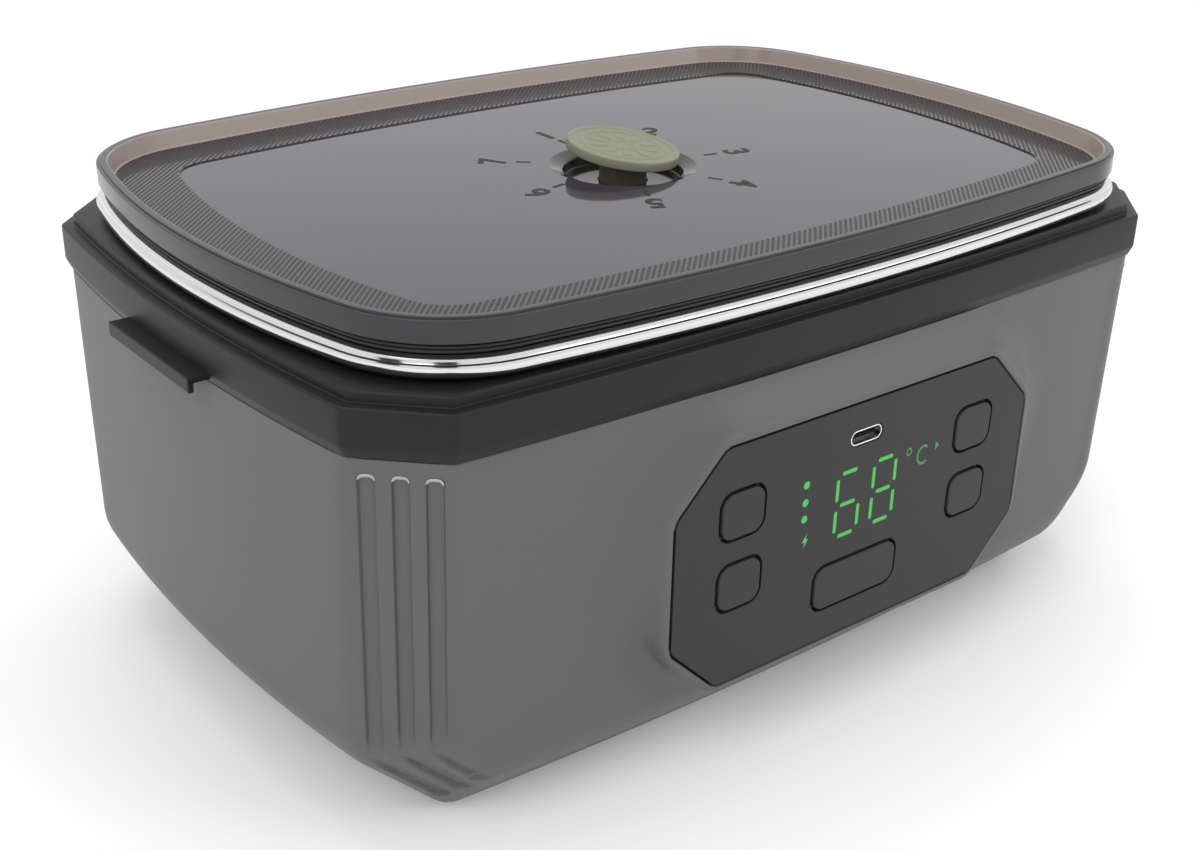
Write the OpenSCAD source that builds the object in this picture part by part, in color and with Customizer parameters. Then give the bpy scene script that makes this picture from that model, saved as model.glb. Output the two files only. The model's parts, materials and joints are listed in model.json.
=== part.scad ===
// Portable electric lunch box: a grey tub with cut corners and a black top band,
// a steel food pan with a rolled rim, a smoked lid with a vent dial, and a control panel.
// Origin: on the surface it stands on, under the middle. The panel faces -Y, up is +Z.

/* [Body] */
// Width over the end faces, at their edges
body_w = 214.4; // [205:0.2:235]
// Depth over the front and back faces, at their edges
body_d = 144.8; // [138:0.2:165]
// Outward bulge of each end face
end_bulge = 4.1; // [1:0.1:7]
// Outward bulge of the front and back faces
front_bulge = 2.8; // [1:0.1:5]
// Leg of the cut at each upright corner
corner_cut = 14; // [11:0.5:18]
// Wall of the grey shell
shell_wall = 2.4; // [1.8:0.1:3.2]
// Height of the grey shell above its base
shell_h = 82.6; // [76:0.2:100]
// Lean of the front and back faces, from the band down to their bevel
face_lean = 1.4; // [0:0.1:2.5]
// Run and drop of the bevel under each end
end_bevel = 19.6; // [15:0.1:24]
// Run and drop of the bevel under the front and back
front_bevel = 14; // [11:0.1:17]
// Skew of the small facet under each cut corner
facet_skew = 1.3; // [1.1:0.05:1.5]
// Thickness of the shell's floor
floor_t = 3.6; // [3:0.1:5]

/* [Corner grooves] */
// Width of each groove
groove_w = 3.4; // [2:0.1:4]
// Depth of each groove
groove_depth = 0.8; // [0.4:0.1:1.2]
// Pitch of the three grooves along the corner cut
groove_pitch = 5.9; // [4.5:0.1:6.5]
// Distance from the band down to the groove ends
groove_drop = 2.9; // [2:0.1:8]
// Length of the middle groove along the facet, measured across the body
groove_run = 13.1; // [8:0.1:14]
// How much longer each groove runs than the next one towards the front
groove_step = 2.2; // [1.5:0.1:2.6]

/* [Top band] */
// Height of the band's outer wall
band_h = 9.6; // [8:0.1:14]
// Height of the chamfer under the band
band_chamfer_h = 2.2; // [1:0.1:3]
// How far the shell's wall lies inside the band's
band_inset = 0.8; // [0.4:0.1:1.5]
// Width of the outer shelf on top of the band
shelf_w = 2.4; // [1.5:0.1:4]
// Height of the raised deck above that shelf
deck_h = 2.1; // [1:0.1:4]
// Wall of the skirt that drops into the shell
skirt_wall = 2; // [1.4:0.1:3]
// Depth of that skirt
skirt_h = 7; // [4:0.5:12]
// Length of the catch ledge on each end
catch_l = 35; // [25:0.5:50]
// Reach of the catch ledge beyond the end face
catch_out = 3.7; // [2.5:0.1:5]
// Height of the catch ledge's lip
catch_h = 3; // [2:0.1:4]
// Plate thickness of the catch ledge
catch_t = 1.2; // [0.8:0.1:1.6]

/* [Pan and lid outline] */
// Distance of the lid's end from the body's end
lid_end_margin = 4.05; // [3:0.05:8]
// Distance of the lid's front from the body's front
lid_front_margin = 1.1; // [0.8:0.05:4]
// Outward bulge of the lid's ends
lid_end_bulge = 5.3; // [3:0.1:8]
// Outward bulge of the lid's front and back
lid_front_bulge = 4; // [2:0.1:6]
// Corner radius of the lid
lid_corner_r = 27; // [25:0.5:32]

/* [Food pan] */
// Sheet thickness of the pan
pan_t = 0.6; // [0.5:0.1:1]
// Width of the pan's flange, wall to rolled edge
pan_flange = 10; // [9:0.1:10.5]
// Radius of the rolled edge
bead_r = 1.85; // [1.4:0.05:2.2]
// Gap between the rolled edge and the deck
bead_gap = 0.9; // [0.6:0.1:3]
// How far the rolled edge reaches past the lid
bead_out = 0.8; // [0:0.1:1.5]
// Draw-in of the pan's wall from rim to floor
pan_draft = 3; // [1:0.1:5]
// Bottom corner radius of the pan
pan_foot_r = 3; // [2:0.1:5]
// Gap between the pan's wall and the well
pan_gap = 0.8; // [0.6:0.1:1.2]

/* [Heating well] */
// Sheet thickness of the well
well_t = 1.2; // [0.8:0.1:1.6]
// Width of the well's flange beyond its wall
well_flange = 2.6; // [2.4:0.1:3]
// Width of the silicone seat ring on that flange
seat_w = 2.2; // [1.6:0.1:2.3]
// Height of the space under the well for the cells and the insulation
bay_h = 28.6; // [27:0.1:33]
// Length of the heating film
film_l = 124; // [90:1:130]
// Width of the heating film
film_w = 64; // [50:1:68]
// Thickness of the heating film
film_t = 1.2; // [0.8:0.1:1.6]
// Thickness of the insulation pad
pad_t = 3; // [2:0.1:4]

/* [Lid] */
// Height of the lid's standing rim, from its lower edge
lid_rim_h = 4.7; // [4.2:0.1:8]
// Thickness of the standing rim
lid_rim_t = 2.4; // [1.8:0.1:3]
// Depth of the tray inside the rim
lid_tray = 4; // [3:0.1:4.5]
// Plate thickness in the middle of the lid
lid_plate = 2; // [1.6:0.1:3]
// Width of the ribbed border
border_w = 14.5; // [10:0.5:18]
// Height of the lid gasket
gasket_h = 2.6; // [2:0.1:4]
// Width of the lid gasket
gasket_w = 3.4; // [2.5:0.1:4]
// Depth of the locating ring that drops into the pan
spigot_h = 5; // [3:0.1:8]
// Wall of the locating ring
spigot_t = 1.6; // [1.2:0.1:2.2]

/* [Vent dial] */
// Radius of the round recess in the lid
recess_r = 13.4; // [13.2:0.1:15]
// Depth of the recess
recess_depth = 3.7; // [3:0.1:4.2]
// Width of the recess's sloping lip
recess_lip = 3.2; // [2:0.1:4]
// Radius of the valve's stem
stem_r = 5.35; // [4.5:0.05:6]
// Radial clearance of the stem in the lid
stem_fit = 0.25; // [0.2:0.05:0.4]
// Radius of the vent cap
cap_r = 12.8; // [11:0.1:12.9]
// Thickness of the vent cap
cap_t = 2.2; // [1.8:0.1:3]
// Height of the shut cap's middle above the tray
cap_shut = 0.9; // [0.6:0.1:2]
// Tilt of the vent cap
cap_tilt = 8; // [0:0.5:8]
// Direction of the tilt, anticlockwise from +X
cap_tilt_dir = -48; // [-90:1:0]
// Travel of the valve from open to shut
vent_travel = 3.5; // [2:0.1:4]
// Radius of the pin that the cap turns on
cap_pin_r = 3; // [2:0.1:3.5]
// Radial clearance of that pin
cap_pin_fit = 0.05; // [0.03:0.01:0.1]

/* [Control panel] */
// Width of the black fascia
panel_w = 100; // [98:0.5:120]
// Height of the fascia
panel_h = 52; // [51:0.5:54]
// Leg of the fascia's corner cuts
panel_cut = 12; // [10:0.5:14]
// Height of the fascia's middle above the base
panel_mid = 46.8; // [44:0.1:49]
// How far the fascia stands out beyond the band
panel_proud = 4; // [3:0.1:6]
// Thickness of the fascia
fascia_t = 2; // [1.6:0.1:2.4]
// Grey rim round the fascia
bezel_rim = 1.6; // [1:0.1:2.5]
// Flare of the bezel towards the body
bezel_flare = 4.5; // [3:0.1:6]
// Width of each small button
key_w = 12.2; // [9:0.1:13]
// Height of each small button
key_h = 11; // [9:0.1:12]
// Corner radius of the buttons
key_r = 3.2; // [2:0.1:4]
// Distance of the button columns from the fascia's ends
key_in = 16.8; // [16:0.1:19]
// Height of the upper buttons above the fascia's middle
key_upper = 11.3; // [10:0.1:12]
// Drop of the lower buttons below the fascia's middle
key_lower = 4.3; // [3:0.1:6]
// Width of the power button
power_w = 25; // [18:0.5:28]
// Drop of the power button below the fascia's middle
power_drop = 13.7; // [12.5:0.1:16]
// Gap round each button
key_gap = 0.45; // [0.25:0.05:0.6]
// Width of the flange behind each button
key_flange = 1.2; // [0.8:0.1:1.6]
// Travel of each button
key_travel = 0.7; // [0.4:0.1:0.8]
// How far a button stands out of the fascia
key_proud = 0.3; // [0:0.1:0.8]
// Height of the charging port above the fascia's middle
port_up = 18.4; // [17:0.1:20]

/* [Display] */
// Sum of the margins left and right of the display module, behind the fascia
display_margins = 56; // [54:0.5:62]
// Height of the display module
display_h = 20; // [18:0.5:21]
// Height of the module's middle above the fascia's middle
display_up = 4.4; // [3:0.1:5]
// Distance of the module's middle to the right
display_right = 2; // [-2:0.5:4]

/* [Cells] */
// Length of a cell
cell_l = 65; // [60:0.5:70]
// Radius of a cell
cell_r = 9.2; // [8.5:0.1:9.3]
// Spacing of the three rows of cells
cell_row = 19.6; // [19:0.1:22]
// Gap between the two columns of cells
cell_space = 3; // [2:0.5:6]
// Height of the holder's cradle
holder_h = 8; // [5:0.5:9]

/* [Base] */
// Thickness of the base cover
cover_t = 2; // [1.6:0.1:2.6]
// Width of the ledge that the cover screws to
cover_ledge = 4; // [3:0.5:6]
// Margin between the cover and the edge of the flat base
cover_margin = 6; // [5:0.5:10]
// Height of the rubber feet below the base
foot_h = 1.5; // [1:0.1:4]
// Radius of the rubber feet
foot_r = 6; // [4:0.5:8]
// Depth of the recess that holds a foot
foot_seat = 0.8; // [0.5:0.1:1]

/* [Fasteners] */
// Radius of a screw's shank
screw_r = 1.4; // [1.2:0.1:1.6]
// Radius of a screw's head
head_r = 2.5; // [2.2:0.1:2.7]
// Height of a screw's head
head_h = 1.6; // [1.2:0.1:2]
// Radial clearance of a shank in a plain hole
screw_fit = 0.3; // [0.2:0.05:0.4]
// Radius of the bosses that take the screws
boss_r = 3.8; // [3.4:0.1:4.2]
// Radius of the lead wires
wire_r = 0.8; // [0.6:0.1:1]

/* [Fits] */
// Gap between pieces that rest on each other but lift apart
seat_gap = 0.1; // [0.05:0.05:0.3]
// Gap round a piece that drops into a pocket
pocket_gap = 0.15; // [0.1:0.05:0.3]
// Radial gap of a screw in its boss
thread_gap = 0.05; // [0.02:0.01:0.1]
// Gap round a round piece that is glued in its pocket
round_gap = 0.3; // [0.25:0.05:0.5]
// Gap between the band's skirt and the shell
skirt_gap = 0.3; // [0.25:0.05:0.5]
// Distance from the fascia to the control board
board_gap = 4.6; // [4.2:0.1:5]
// Thickness of the control board
board_t = 1.6; // [1:0.1:2]
// Width of the ledge that the fascia is glued to
fascia_ledge = 1.6; // [1:0.1:2]
// Depth of the counterbores in the base cover
base_sink = 1.2; // [0.8:0.1:1.4]

/* [Hidden] */

diag = sqrt(2);
tiny = 0.01;
cut_over = 1;
face_steps = 12;
end_steps = 8;
corner_steps = 7;

// Levels, from the surface it stands on
base_z = foot_h;
cover_top = base_z + cover_t;
floor_top = base_z + floor_t;
shell_top = base_z + shell_h;
band_wall_z = shell_top + band_chamfer_h;
band_top = shell_top + band_h;
deck_z = band_top + deck_h;
flange_top = deck_z + bead_gap + 2 * bead_r;
lid_edge_z = flange_top + gasket_h;
lid_top = lid_edge_z + lid_rim_h;
tray_z = lid_top - lid_tray;
cap_lift = cap_shut + vent_travel;
plate_z = tray_z - lid_plate;
well_z = cover_top + bay_h;
pan_z = well_z + well_t + seat_gap;

// Outline of the body
half_w = body_w / 2;
half_d = body_d / 2;
end_mid = half_w + end_bulge;
front_mid = half_d + front_bulge;
end_z = base_z + end_bevel;
front_z = base_z + front_bevel;

// Outline shared by the lid, the pan and the well: a bulged rectangle, offset by a radius
oval_x = end_mid - lid_end_margin - lid_end_bulge - lid_corner_r;
oval_y = front_mid - lid_front_margin - lid_front_bulge - lid_corner_r;
front_arc = (oval_x * oval_x + lid_front_bulge * lid_front_bulge) / (2 * lid_front_bulge);
end_arc = (oval_y * oval_y + lid_end_bulge * lid_end_bulge) / (2 * lid_end_bulge);
front_half = asin(oval_x / front_arc);
end_half = asin(oval_y / end_arc);

// Offsets of the pan, the well and the lid on that outline
bead_c = lid_corner_r + bead_out - bead_r;
pan_wall_r = bead_c - pan_flange;
pan_foot = pan_wall_r - pan_draft;
well_in_r = pan_wall_r + pan_gap;
well_out_r = well_in_r + well_t;
well_foot = pan_foot + pan_gap;
well_flange_r = well_out_r + well_flange;
spigot_r = pan_wall_r - pan_t - 2 * pan_gap / 3;
gasket_out_r = lid_corner_r - 1;
gasket_in_r = gasket_out_r - gasket_w;
rim_in_r = lid_corner_r - lid_rim_t;

// Screw posts between the shell and the band, on the line of each corner cut
post_turn = 47;
post_reach = well_flange_r + pocket_gap + screw_fit + head_r + 0.5;
post_x = oval_x + post_reach * cos(post_turn);
post_y = oval_y + post_reach * sin(post_turn);
post_h = 50;
collar_screw_l = 10;

// Control panel
face_y = -(front_mid + panel_proud);
fascia_back = face_y + fascia_t;
board_y = fascia_back + board_gap;
board_back = board_y + board_t;
panel_z = base_z + panel_mid;
opening_w = panel_w - 2 * fascia_ledge;
opening_h = panel_h - 2 * fascia_ledge;
board_margin = 0.8;
board_w = opening_w - 2 * board_margin;
board_h = opening_h - 2 * board_margin;
fascia_post_r = 2.8;
fascia_post_x = board_w / 2 - fascia_post_r - 0.8;
fascia_post_z = 11;
key_x = panel_w / 2 - key_in;
display_w = panel_w - display_margins;
keys = [
  [-key_x, key_upper, key_w, key_h],
  [-key_x, -key_lower, key_w, key_h],
  [key_x, key_upper, key_w, key_h],
  [key_x, -key_lower, key_w, key_h],
  [0, -power_drop, power_w, key_h]
];
flange_t = 1.2;
switch_side = 6;
switch_t = 1.5;
plunger_r = 1.2;
plunger_h = 0.5;
stem_nub_r = 1.6;
port_w = 8.94;
port_h = 3.26;
port_wall = 0.3;
tongue_w = 6.7;
tongue_t = 0.7;

// Cells and their holder
cradle_t = 1.6;
holder_wall = 2.5;
strip_t = 0.3;
cell_gap = 0.1;
cell_z = cover_top + cradle_t + cell_r;
cells_half = cell_l + cell_space / 2;
holder_half = cells_half + strip_t + cell_gap + holder_wall;
holder_w = 2 * cell_row + 2 * cell_r + 3;
lug_w = 12;
lug_l = 9;
lug_x = 50;
lug_y = holder_w / 2 + lug_l / 2;

// Base cover
cover_half_w = half_w - band_inset - end_bevel - cover_margin;
cover_half_d = half_d - band_inset - face_lean - front_bevel - cover_margin;
cover_corner = 8;
base_screw_in = 6;
base_screw_x = cover_half_w - base_screw_in;
base_screw_y = cover_half_d - base_screw_in;
base_screw_l = 8;
foot_x = cover_half_w - 18;
foot_y = cover_half_d - 14;

// ---- Outlines ----

// Lessening of the corner cut when the outline moves in by d
function cut_leg(d) = corner_cut - d * (2 - diag);

// One level of the body: half sizes at the cut corners, the cut's leg, the flat run beside it,
// both bulges, and the heights of the ends, of the cut's front corner and of the front face
function body_ring(hw, hd, leg, run, z_end, z_cut, z_front) = concat(
  [[-hw + leg, -hd, z_cut]],
  [for (i = [0:face_steps]) let (t = -1 + 2 * i / face_steps)
    [t * (hw - leg - run), -hd - front_bulge * (1 - t * t), z_front]],
  [[hw - leg, -hd, z_cut]],
  [for (i = [0:end_steps]) let (t = -1 + 2 * i / end_steps)
    [hw + end_bulge * (1 - t * t), t * (hd - leg), z_end]],
  [[hw - leg, hd, z_cut]],
  [for (i = [0:face_steps]) let (t = 1 - 2 * i / face_steps)
    [t * (hw - leg - run), hd + front_bulge * (1 - t * t), z_front]],
  [[-hw + leg, hd, z_cut]],
  [for (i = [0:end_steps]) let (t = 1 - 2 * i / end_steps)
    [-hw - end_bulge * (1 - t * t), t * (hd - leg), z_end]]
);

function level_ring(inset, z) = body_ring(half_w - inset, half_d - inset, cut_leg(inset), 0, z, z, z);
function skirt_ring(inset, z) = body_ring(half_w - inset, half_d - inset, cut_leg(inset),
  (facet_skew - 1) * cut_leg(inset) + end_z - front_z, z, z, z);

function arc_points(cx, cy, r, a0, a1, n) =
  [for (i = [0:n - 1]) let (a = a0 + (a1 - a0) * i / n) [cx + r * cos(a), cy + r * sin(a)]];

// The lid's outline at offset r
function oval(r) = concat(
  arc_points(0, front_arc - oval_y - lid_front_bulge, front_arc + r, -90 - front_half, -90 + front_half, face_steps),
  arc_points(oval_x, -oval_y, r, -90 + front_half, -end_half, corner_steps),
  arc_points(oval_x + lid_end_bulge - end_arc, 0, end_arc + r, -end_half, end_half, end_steps),
  arc_points(oval_x, oval_y, r, end_half, 90 - front_half, corner_steps),
  arc_points(0, oval_y + lid_front_bulge - front_arc, front_arc + r, 90 - front_half, 90 + front_half, face_steps),
  arc_points(-oval_x, oval_y, r, 90 + front_half, 180 - end_half, corner_steps),
  arc_points(end_arc - oval_x - lid_end_bulge, 0, end_arc + r, 180 - end_half, 180 + end_half, end_steps),
  arc_points(-oval_x, -oval_y, r, 180 + end_half, 270 - front_half, corner_steps)
);
function oval_ring(p) = [for (q = oval(p[0])) [q[0], q[1], p[1]]];

// An octagon with half sizes hw, hh and corner legs leg
function octagon(hw, hh, leg) = [
  [-hw + leg, -hh], [hw - leg, -hh], [hw, -hh + leg], [hw, hh - leg],
  [hw - leg, hh], [-hw + leg, hh], [-hw, hh - leg], [-hw, -hh + leg]
];
function grown_octagon(w, h, leg, d) = octagon(w / 2 + d, h / 2 + d, leg + d * (2 - diag));

// ---- Solids from outlines ----

// Skin over a stack of rings with equal counts, from the lowest outside ring to the last one
module loft(rings, closed = false) {
  n = len(rings[0]);
  m = len(rings);
  points = [for (ring = rings) each ring];
  last = closed ? m - 1 : m - 2;
  sides = [for (k = [0:last]) for (i = [0:n - 1])
    let (j = (i + 1) % n, up = (k + 1) % m, a = k * n + i, b = k * n + j, c = up * n + j, d = up * n + i)
    each [[a, d, c], [a, c, b]]];
  kept = [for (f = sides)
    if (points[f[0]] != points[f[1]] && points[f[1]] != points[f[2]] && points[f[0]] != points[f[2]]) f];
  caps = closed ? [] : [
    [for (i = [0:n - 1]) if (points[i] != points[(i + 1) % n]) i],
    [for (i = [n - 1:-1:0]) (m - 1) * n + i]
  ];
  polyhedron(points = points, faces = concat(kept, caps), convexity = 8);
}

// A wall that follows the lid's outline, between two offsets
module oval_wall(r_in, r_out, z, h) {
  translate([0, 0, z])
    linear_extrude(h)
      difference() {
        polygon(oval(r_out));
        polygon(oval(r_in));
      }
}

// A plate that faces the front, between two depths
module front_plate(y_front, y_back) {
  translate([0, y_back, panel_z])
    rotate([90, 0, 0])
      linear_extrude(y_back - y_front)
        children();
}

module rounded_box(w, h, r) {
  square([w - 2 * r, h], center = true);
  square([w, h - 2 * r], center = true);
  for (x = [-1, 1])
    for (y = [-1, 1])
      translate([x * (w / 2 - r), y * (h / 2 - r)])
        circle(r = r, $fn = 32);
}

module four_corners(x, y) {
  for (sx = [-1, 1])
    for (sy = [-1, 1])
      translate([sx * x, sy * y, 0])
        children();
}

// A screw along +Z: its head starts at zero and its shank runs down from there
module screw(length) {
  cylinder(r = head_r, h = head_h, $fn = 32);
  translate([0, 0, -length])
    cylinder(r = screw_r, h = length + tiny, $fn = 24);
}

// ---- Grey shell ----

shell_half_w = half_w - band_inset;
shell_half_d = half_d - band_inset;

// The shell's form, moved in by d
module shell_form(d, z_low, z_high) {
  leg = cut_leg(band_inset + d);
  hw = shell_half_w - d;
  hd = shell_half_d - d;
  low_hd = hd - face_lean;
  rise = d * (diag - 1);
  z_e = end_z + rise;
  z_f = front_z + rise;
  z_cut = z_e + (facet_skew - 1) * leg;
  run = (facet_skew - 1) * leg + z_e - z_f;
  drop_w = z_e - z_low;
  drop_d = z_f - z_low;
  loft([
    body_ring(hw - drop_w, low_hd - drop_d, 0, 0, z_low, z_low, z_low),
    body_ring(hw, low_hd, leg, run, z_e, z_cut, z_f),
    body_ring(hw, hd, leg, run, z_high, z_high, z_high)
  ]);
}

// Slots down the near left corner cut and on over its facet; mirrored for the other corners
module corner_grooves() {
  leg = cut_leg(band_inset);
  bend_step = (facet_skew - 1) * leg;
  lean = atan(face_lean / diag / (shell_top - end_z - bend_step / 2));
  for (i = [-1:1]) {
    share = 0.5 + i * groove_pitch / (leg * diag);
    depth_at_bend = shell_top - end_z - bend_step * share;
    length = diag * (groove_run - i * groove_step);
    translate([-shell_half_w + leg * share, -shell_half_d + leg * (1 - share), shell_top])
      rotate([0, 0, -45])
        rotate([lean, 0, 0])
          translate([0, 0, -groove_drop - groove_w / 2]) {
            translate([-groove_w / 2, -groove_w, -depth_at_bend])
              cube([groove_w, groove_w + groove_depth, depth_at_bend]);
            translate([0, groove_depth, 0])
              rotate([90, 0, 0])
                cylinder(r = groove_w / 2, h = groove_w + groove_depth, $fn = 32);
          }
    translate([-shell_half_w + leg * share, face_lean - shell_half_d + leg * (1 - share), end_z + bend_step * share])
      rotate([-atan(facet_skew / diag), 45, 0]) {
        translate([-groove_w / 2, -groove_w / 2, -groove_w])
          cube([length, groove_w, groove_w + groove_depth]);
        translate([length - groove_w / 2, 0, -groove_w])
          cylinder(r = groove_w / 2, h = groove_w + groove_depth, $fn = 32);
      }
  }
}

// The bezel that carries the fascia, flaring back into the body
module bezel() {
  hull() {
    front_plate(face_y, face_y + tiny)
      polygon(grown_octagon(panel_w, panel_h, panel_cut, bezel_rim));
    front_plate(face_y + 2 * panel_proud, face_y + 2 * panel_proud + tiny)
      polygon(grown_octagon(panel_w, panel_h, panel_cut, bezel_rim + 2 * bezel_flare));
  }
}

// Posts for the band's screws, each tied to its corner by a web
module shell_posts() {
  intersection() {
    shell_form(tiny, base_z + tiny, shell_top);
    union() {
      four_corners(post_x, post_y)
        translate([0, 0, shell_top - post_h])
          cylinder(r = boss_r, h = post_h, $fn = 40);
      for (mx = [0, 1])
        for (my = [0, 1])
          mirror([mx, 0, 0])
            mirror([0, my, 0])
              translate([post_x, post_y, shell_top - post_h])
                rotate([0, 0, 45])
                  translate([boss_r - 1, -1, 0])
                    cube([10, 2, post_h - skirt_h - 1]);
    }
  }
}

module base_pads() {
  four_corners(base_screw_x, base_screw_y)
    translate([0, 0, cover_top])
      cylinder(r = base_screw_in, h = floor_t + base_screw_l - cover_t, $fn = 40);
}

module outer_shell() {
  color([0.39, 0.4, 0.4])
    difference() {
      union() {
        difference() {
          union() {
            shell_form(0, base_z, shell_top);
            bezel();
          }
          shell_form(shell_wall, floor_top, shell_top + cut_over);
          // Opening for the base cover
          translate([0, 0, base_z - cut_over])
            linear_extrude(floor_t + 2 * cut_over)
              rounded_box(2 * (cover_half_w - cover_ledge), 2 * (cover_half_d - cover_ledge), cover_corner);
        }
        shell_posts();
        base_pads();
      }
      // Pocket and opening for the control panel
      front_plate(face_y - cut_over, fascia_back)
        polygon(grown_octagon(panel_w, panel_h, panel_cut, pocket_gap));
      front_plate(face_y - cut_over, -half_d + 12)
        polygon(grown_octagon(opening_w, opening_h, panel_cut, 0));
      // Rebate for the base cover
      translate([0, 0, base_z - cut_over])
        linear_extrude(cover_t + cut_over)
          rounded_box(2 * (cover_half_w + pocket_gap), 2 * (cover_half_d + pocket_gap), cover_corner);
      four_corners(base_screw_x, base_screw_y)
        translate([0, 0, base_z])
          cylinder(r = screw_r + thread_gap, h = cover_t + base_screw_l, $fn = 24);
      four_corners(post_x, post_y)
        translate([0, 0, shell_top - collar_screw_l - 1])
          cylinder(r = screw_r + thread_gap, h = collar_screw_l + 1 + cut_over, $fn = 24);
      for (mx = [0, 1])
        for (my = [0, 1])
          mirror([mx, 0, 0])
            mirror([0, my, 0])
              corner_grooves();
    }
}

// ---- Black band ----

edge = 0.4;
skirt_in = band_inset + shell_wall + skirt_gap;
deck_t = 2.4;
lip_wall = 2;
counterbore_z = band_wall_z;
post_hole_r = head_r + screw_fit;

module band_bosses(r, z, h) {
  four_corners(post_x, post_y)
    translate([0, 0, z])
      cylinder(r = r, h = h, $fn = 40);
}

module catch_ledge() {
  translate([end_mid - end_bulge - 2, -catch_l / 2, band_wall_z - catch_t])
    cube([end_bulge + 2 + catch_out, catch_l, catch_t]);
  translate([end_mid + catch_out - catch_t, -catch_l / 2, band_wall_z - catch_h])
    cube([catch_t, catch_l, catch_h]);
}

module top_collar() {
  color([0.09, 0.09, 0.095])
    difference() {
      union() {
        difference() {
          union() {
            loft([
              level_ring(band_inset, shell_top),
              level_ring(0, band_wall_z),
              level_ring(0, band_top - edge),
              level_ring(edge, band_top),
              level_ring(shelf_w, band_top),
              level_ring(shelf_w, deck_z - edge),
              level_ring(shelf_w + edge, deck_z)
            ]);
            difference() {
              loft([skirt_ring(skirt_in, shell_top - skirt_h), skirt_ring(skirt_in, shell_top + tiny)]);
              band_bosses(boss_r + skirt_gap, shell_top - skirt_h - cut_over, skirt_h + cut_over);
            }
          }
          loft([
            skirt_ring(skirt_in + skirt_wall, shell_top - skirt_h - cut_over),
            skirt_ring(skirt_in + skirt_wall, deck_z - deck_t)
          ]);
        }
        intersection() {
          union() {
            oval_wall(well_out_r + pocket_gap, well_out_r + pocket_gap + lip_wall, shell_top, deck_z - shell_top - edge);
            band_bosses(boss_r, shell_top, deck_z - shell_top - edge);
          }
          loft([level_ring(shelf_w + edge, shell_top), level_ring(shelf_w + edge, deck_z)]);
        }
        catch_ledge();
        mirror([1, 0, 0])
          catch_ledge();
      }
      translate([0, 0, shell_top - skirt_h - cut_over])
        linear_extrude(skirt_h + band_h + deck_h + 2 * cut_over)
          polygon(oval(well_out_r + pocket_gap));
      translate([0, 0, deck_z - well_t - seat_gap])
        linear_extrude(well_t + cut_over)
          polygon(oval(well_flange_r + pocket_gap));
      band_bosses(post_hole_r, counterbore_z, deck_z - counterbore_z + cut_over);
      band_bosses(screw_r + screw_fit, shell_top - cut_over, counterbore_z - shell_top + 2 * cut_over);
    }
}

module collar_screws() {
  color([0.62, 0.63, 0.64])
    four_corners(post_x, post_y)
      translate([0, 0, counterbore_z + seat_gap])
        screw(collar_screw_l + counterbore_z - shell_top);
}

// ---- Base ----

module base_cover() {
  color([0.1, 0.1, 0.105])
    difference() {
      union() {
        translate([0, 0, base_z])
          linear_extrude(cover_t - seat_gap)
            rounded_box(2 * cover_half_w, 2 * cover_half_d, cover_corner);
        for (x = [-1, 1])
          translate([x * board_post_x, power_y, base_z])
            cylinder(r = boss_r, h = cover_t + board_post_h, $fn = 40);
        for (s = [-1, 1])
          translate([s * lug_x, s * lug_y, base_z])
            cylinder(r = boss_r, h = cover_t + lug_boss_h, $fn = 40);
      }
      four_corners(base_screw_x, base_screw_y)
        translate([0, 0, base_z - cut_over]) {
          cylinder(r = screw_r + screw_fit, h = cover_t + 2 * cut_over, $fn = 24);
          cylinder(r = head_r + screw_fit, h = base_sink + cut_over, $fn = 32);
        }
      four_corners(foot_x, foot_y)
        translate([0, 0, base_z - cut_over])
          cylinder(r = foot_r + round_gap, h = foot_seat + cut_over, $fn = 48);
      for (x = [-1, 1])
        translate([x * board_post_x, power_y, cover_top + board_post_h - power_screw_l])
          cylinder(r = screw_r + thread_gap, h = power_screw_l + cut_over, $fn = 24);
      for (s = [-1, 1])
        translate([s * lug_x, s * lug_y, cover_top + lug_boss_h - power_screw_l])
          cylinder(r = screw_r + thread_gap, h = power_screw_l + cut_over, $fn = 24);
    }
}

module base_screws() {
  color([0.62, 0.63, 0.64])
    four_corners(base_screw_x, base_screw_y)
      translate([0, 0, base_z + base_sink - seat_gap])
        rotate([180, 0, 0])
          screw(base_screw_l);
}

module rubber_feet() {
  color([0.07, 0.07, 0.07])
    four_corners(foot_x, foot_y)
      rotate_extrude($fn = 48)
        polygon([[0, 0], [foot_r - 0.5, 0], [foot_r, 0.5], [foot_r, foot_h + foot_seat - seat_gap], [0, foot_h + foot_seat - seat_gap]]);
}

// ---- Heating well and what is under it ----

// Quarter round from the outside of a floor to a wall, as [offset, height] pairs
function foot_round(r_wall, z, r, n = 4) =
  [for (i = [0:n]) let (a = -90 + 90 * i / n) [r_wall - r + r * cos(a), z + r + r * sin(a)]];
function foot_round_in(r_wall, z, r, n = 4) =
  [for (i = [n:-1:0]) let (a = -90 + 90 * i / n) [r_wall - r + r * cos(a), z + r + r * sin(a)]];

module heat_well() {
  flange_low = deck_z - well_t;
  profile = concat(
    foot_round(well_foot + well_t, well_z, pan_foot_r + well_t),
    [
      [well_out_r, flange_low],
      [well_flange_r, flange_low],
      [well_flange_r, deck_z],
      [well_in_r + 0.8, deck_z],
      [well_in_r, deck_z - 1.2]
    ],
    foot_round_in(well_foot, well_z + well_t, pan_foot_r)
  );
  color([0.72, 0.73, 0.74])
    loft([for (p = profile) oval_ring(p)]);
}

module seat_ring() {
  color([0.75, 0.75, 0.73])
    oval_wall(well_out_r + 0.2, well_out_r + 0.2 + seat_w, deck_z + seat_gap / 2, pan_flange_z - deck_z - 1.5 * seat_gap);
}

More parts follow.
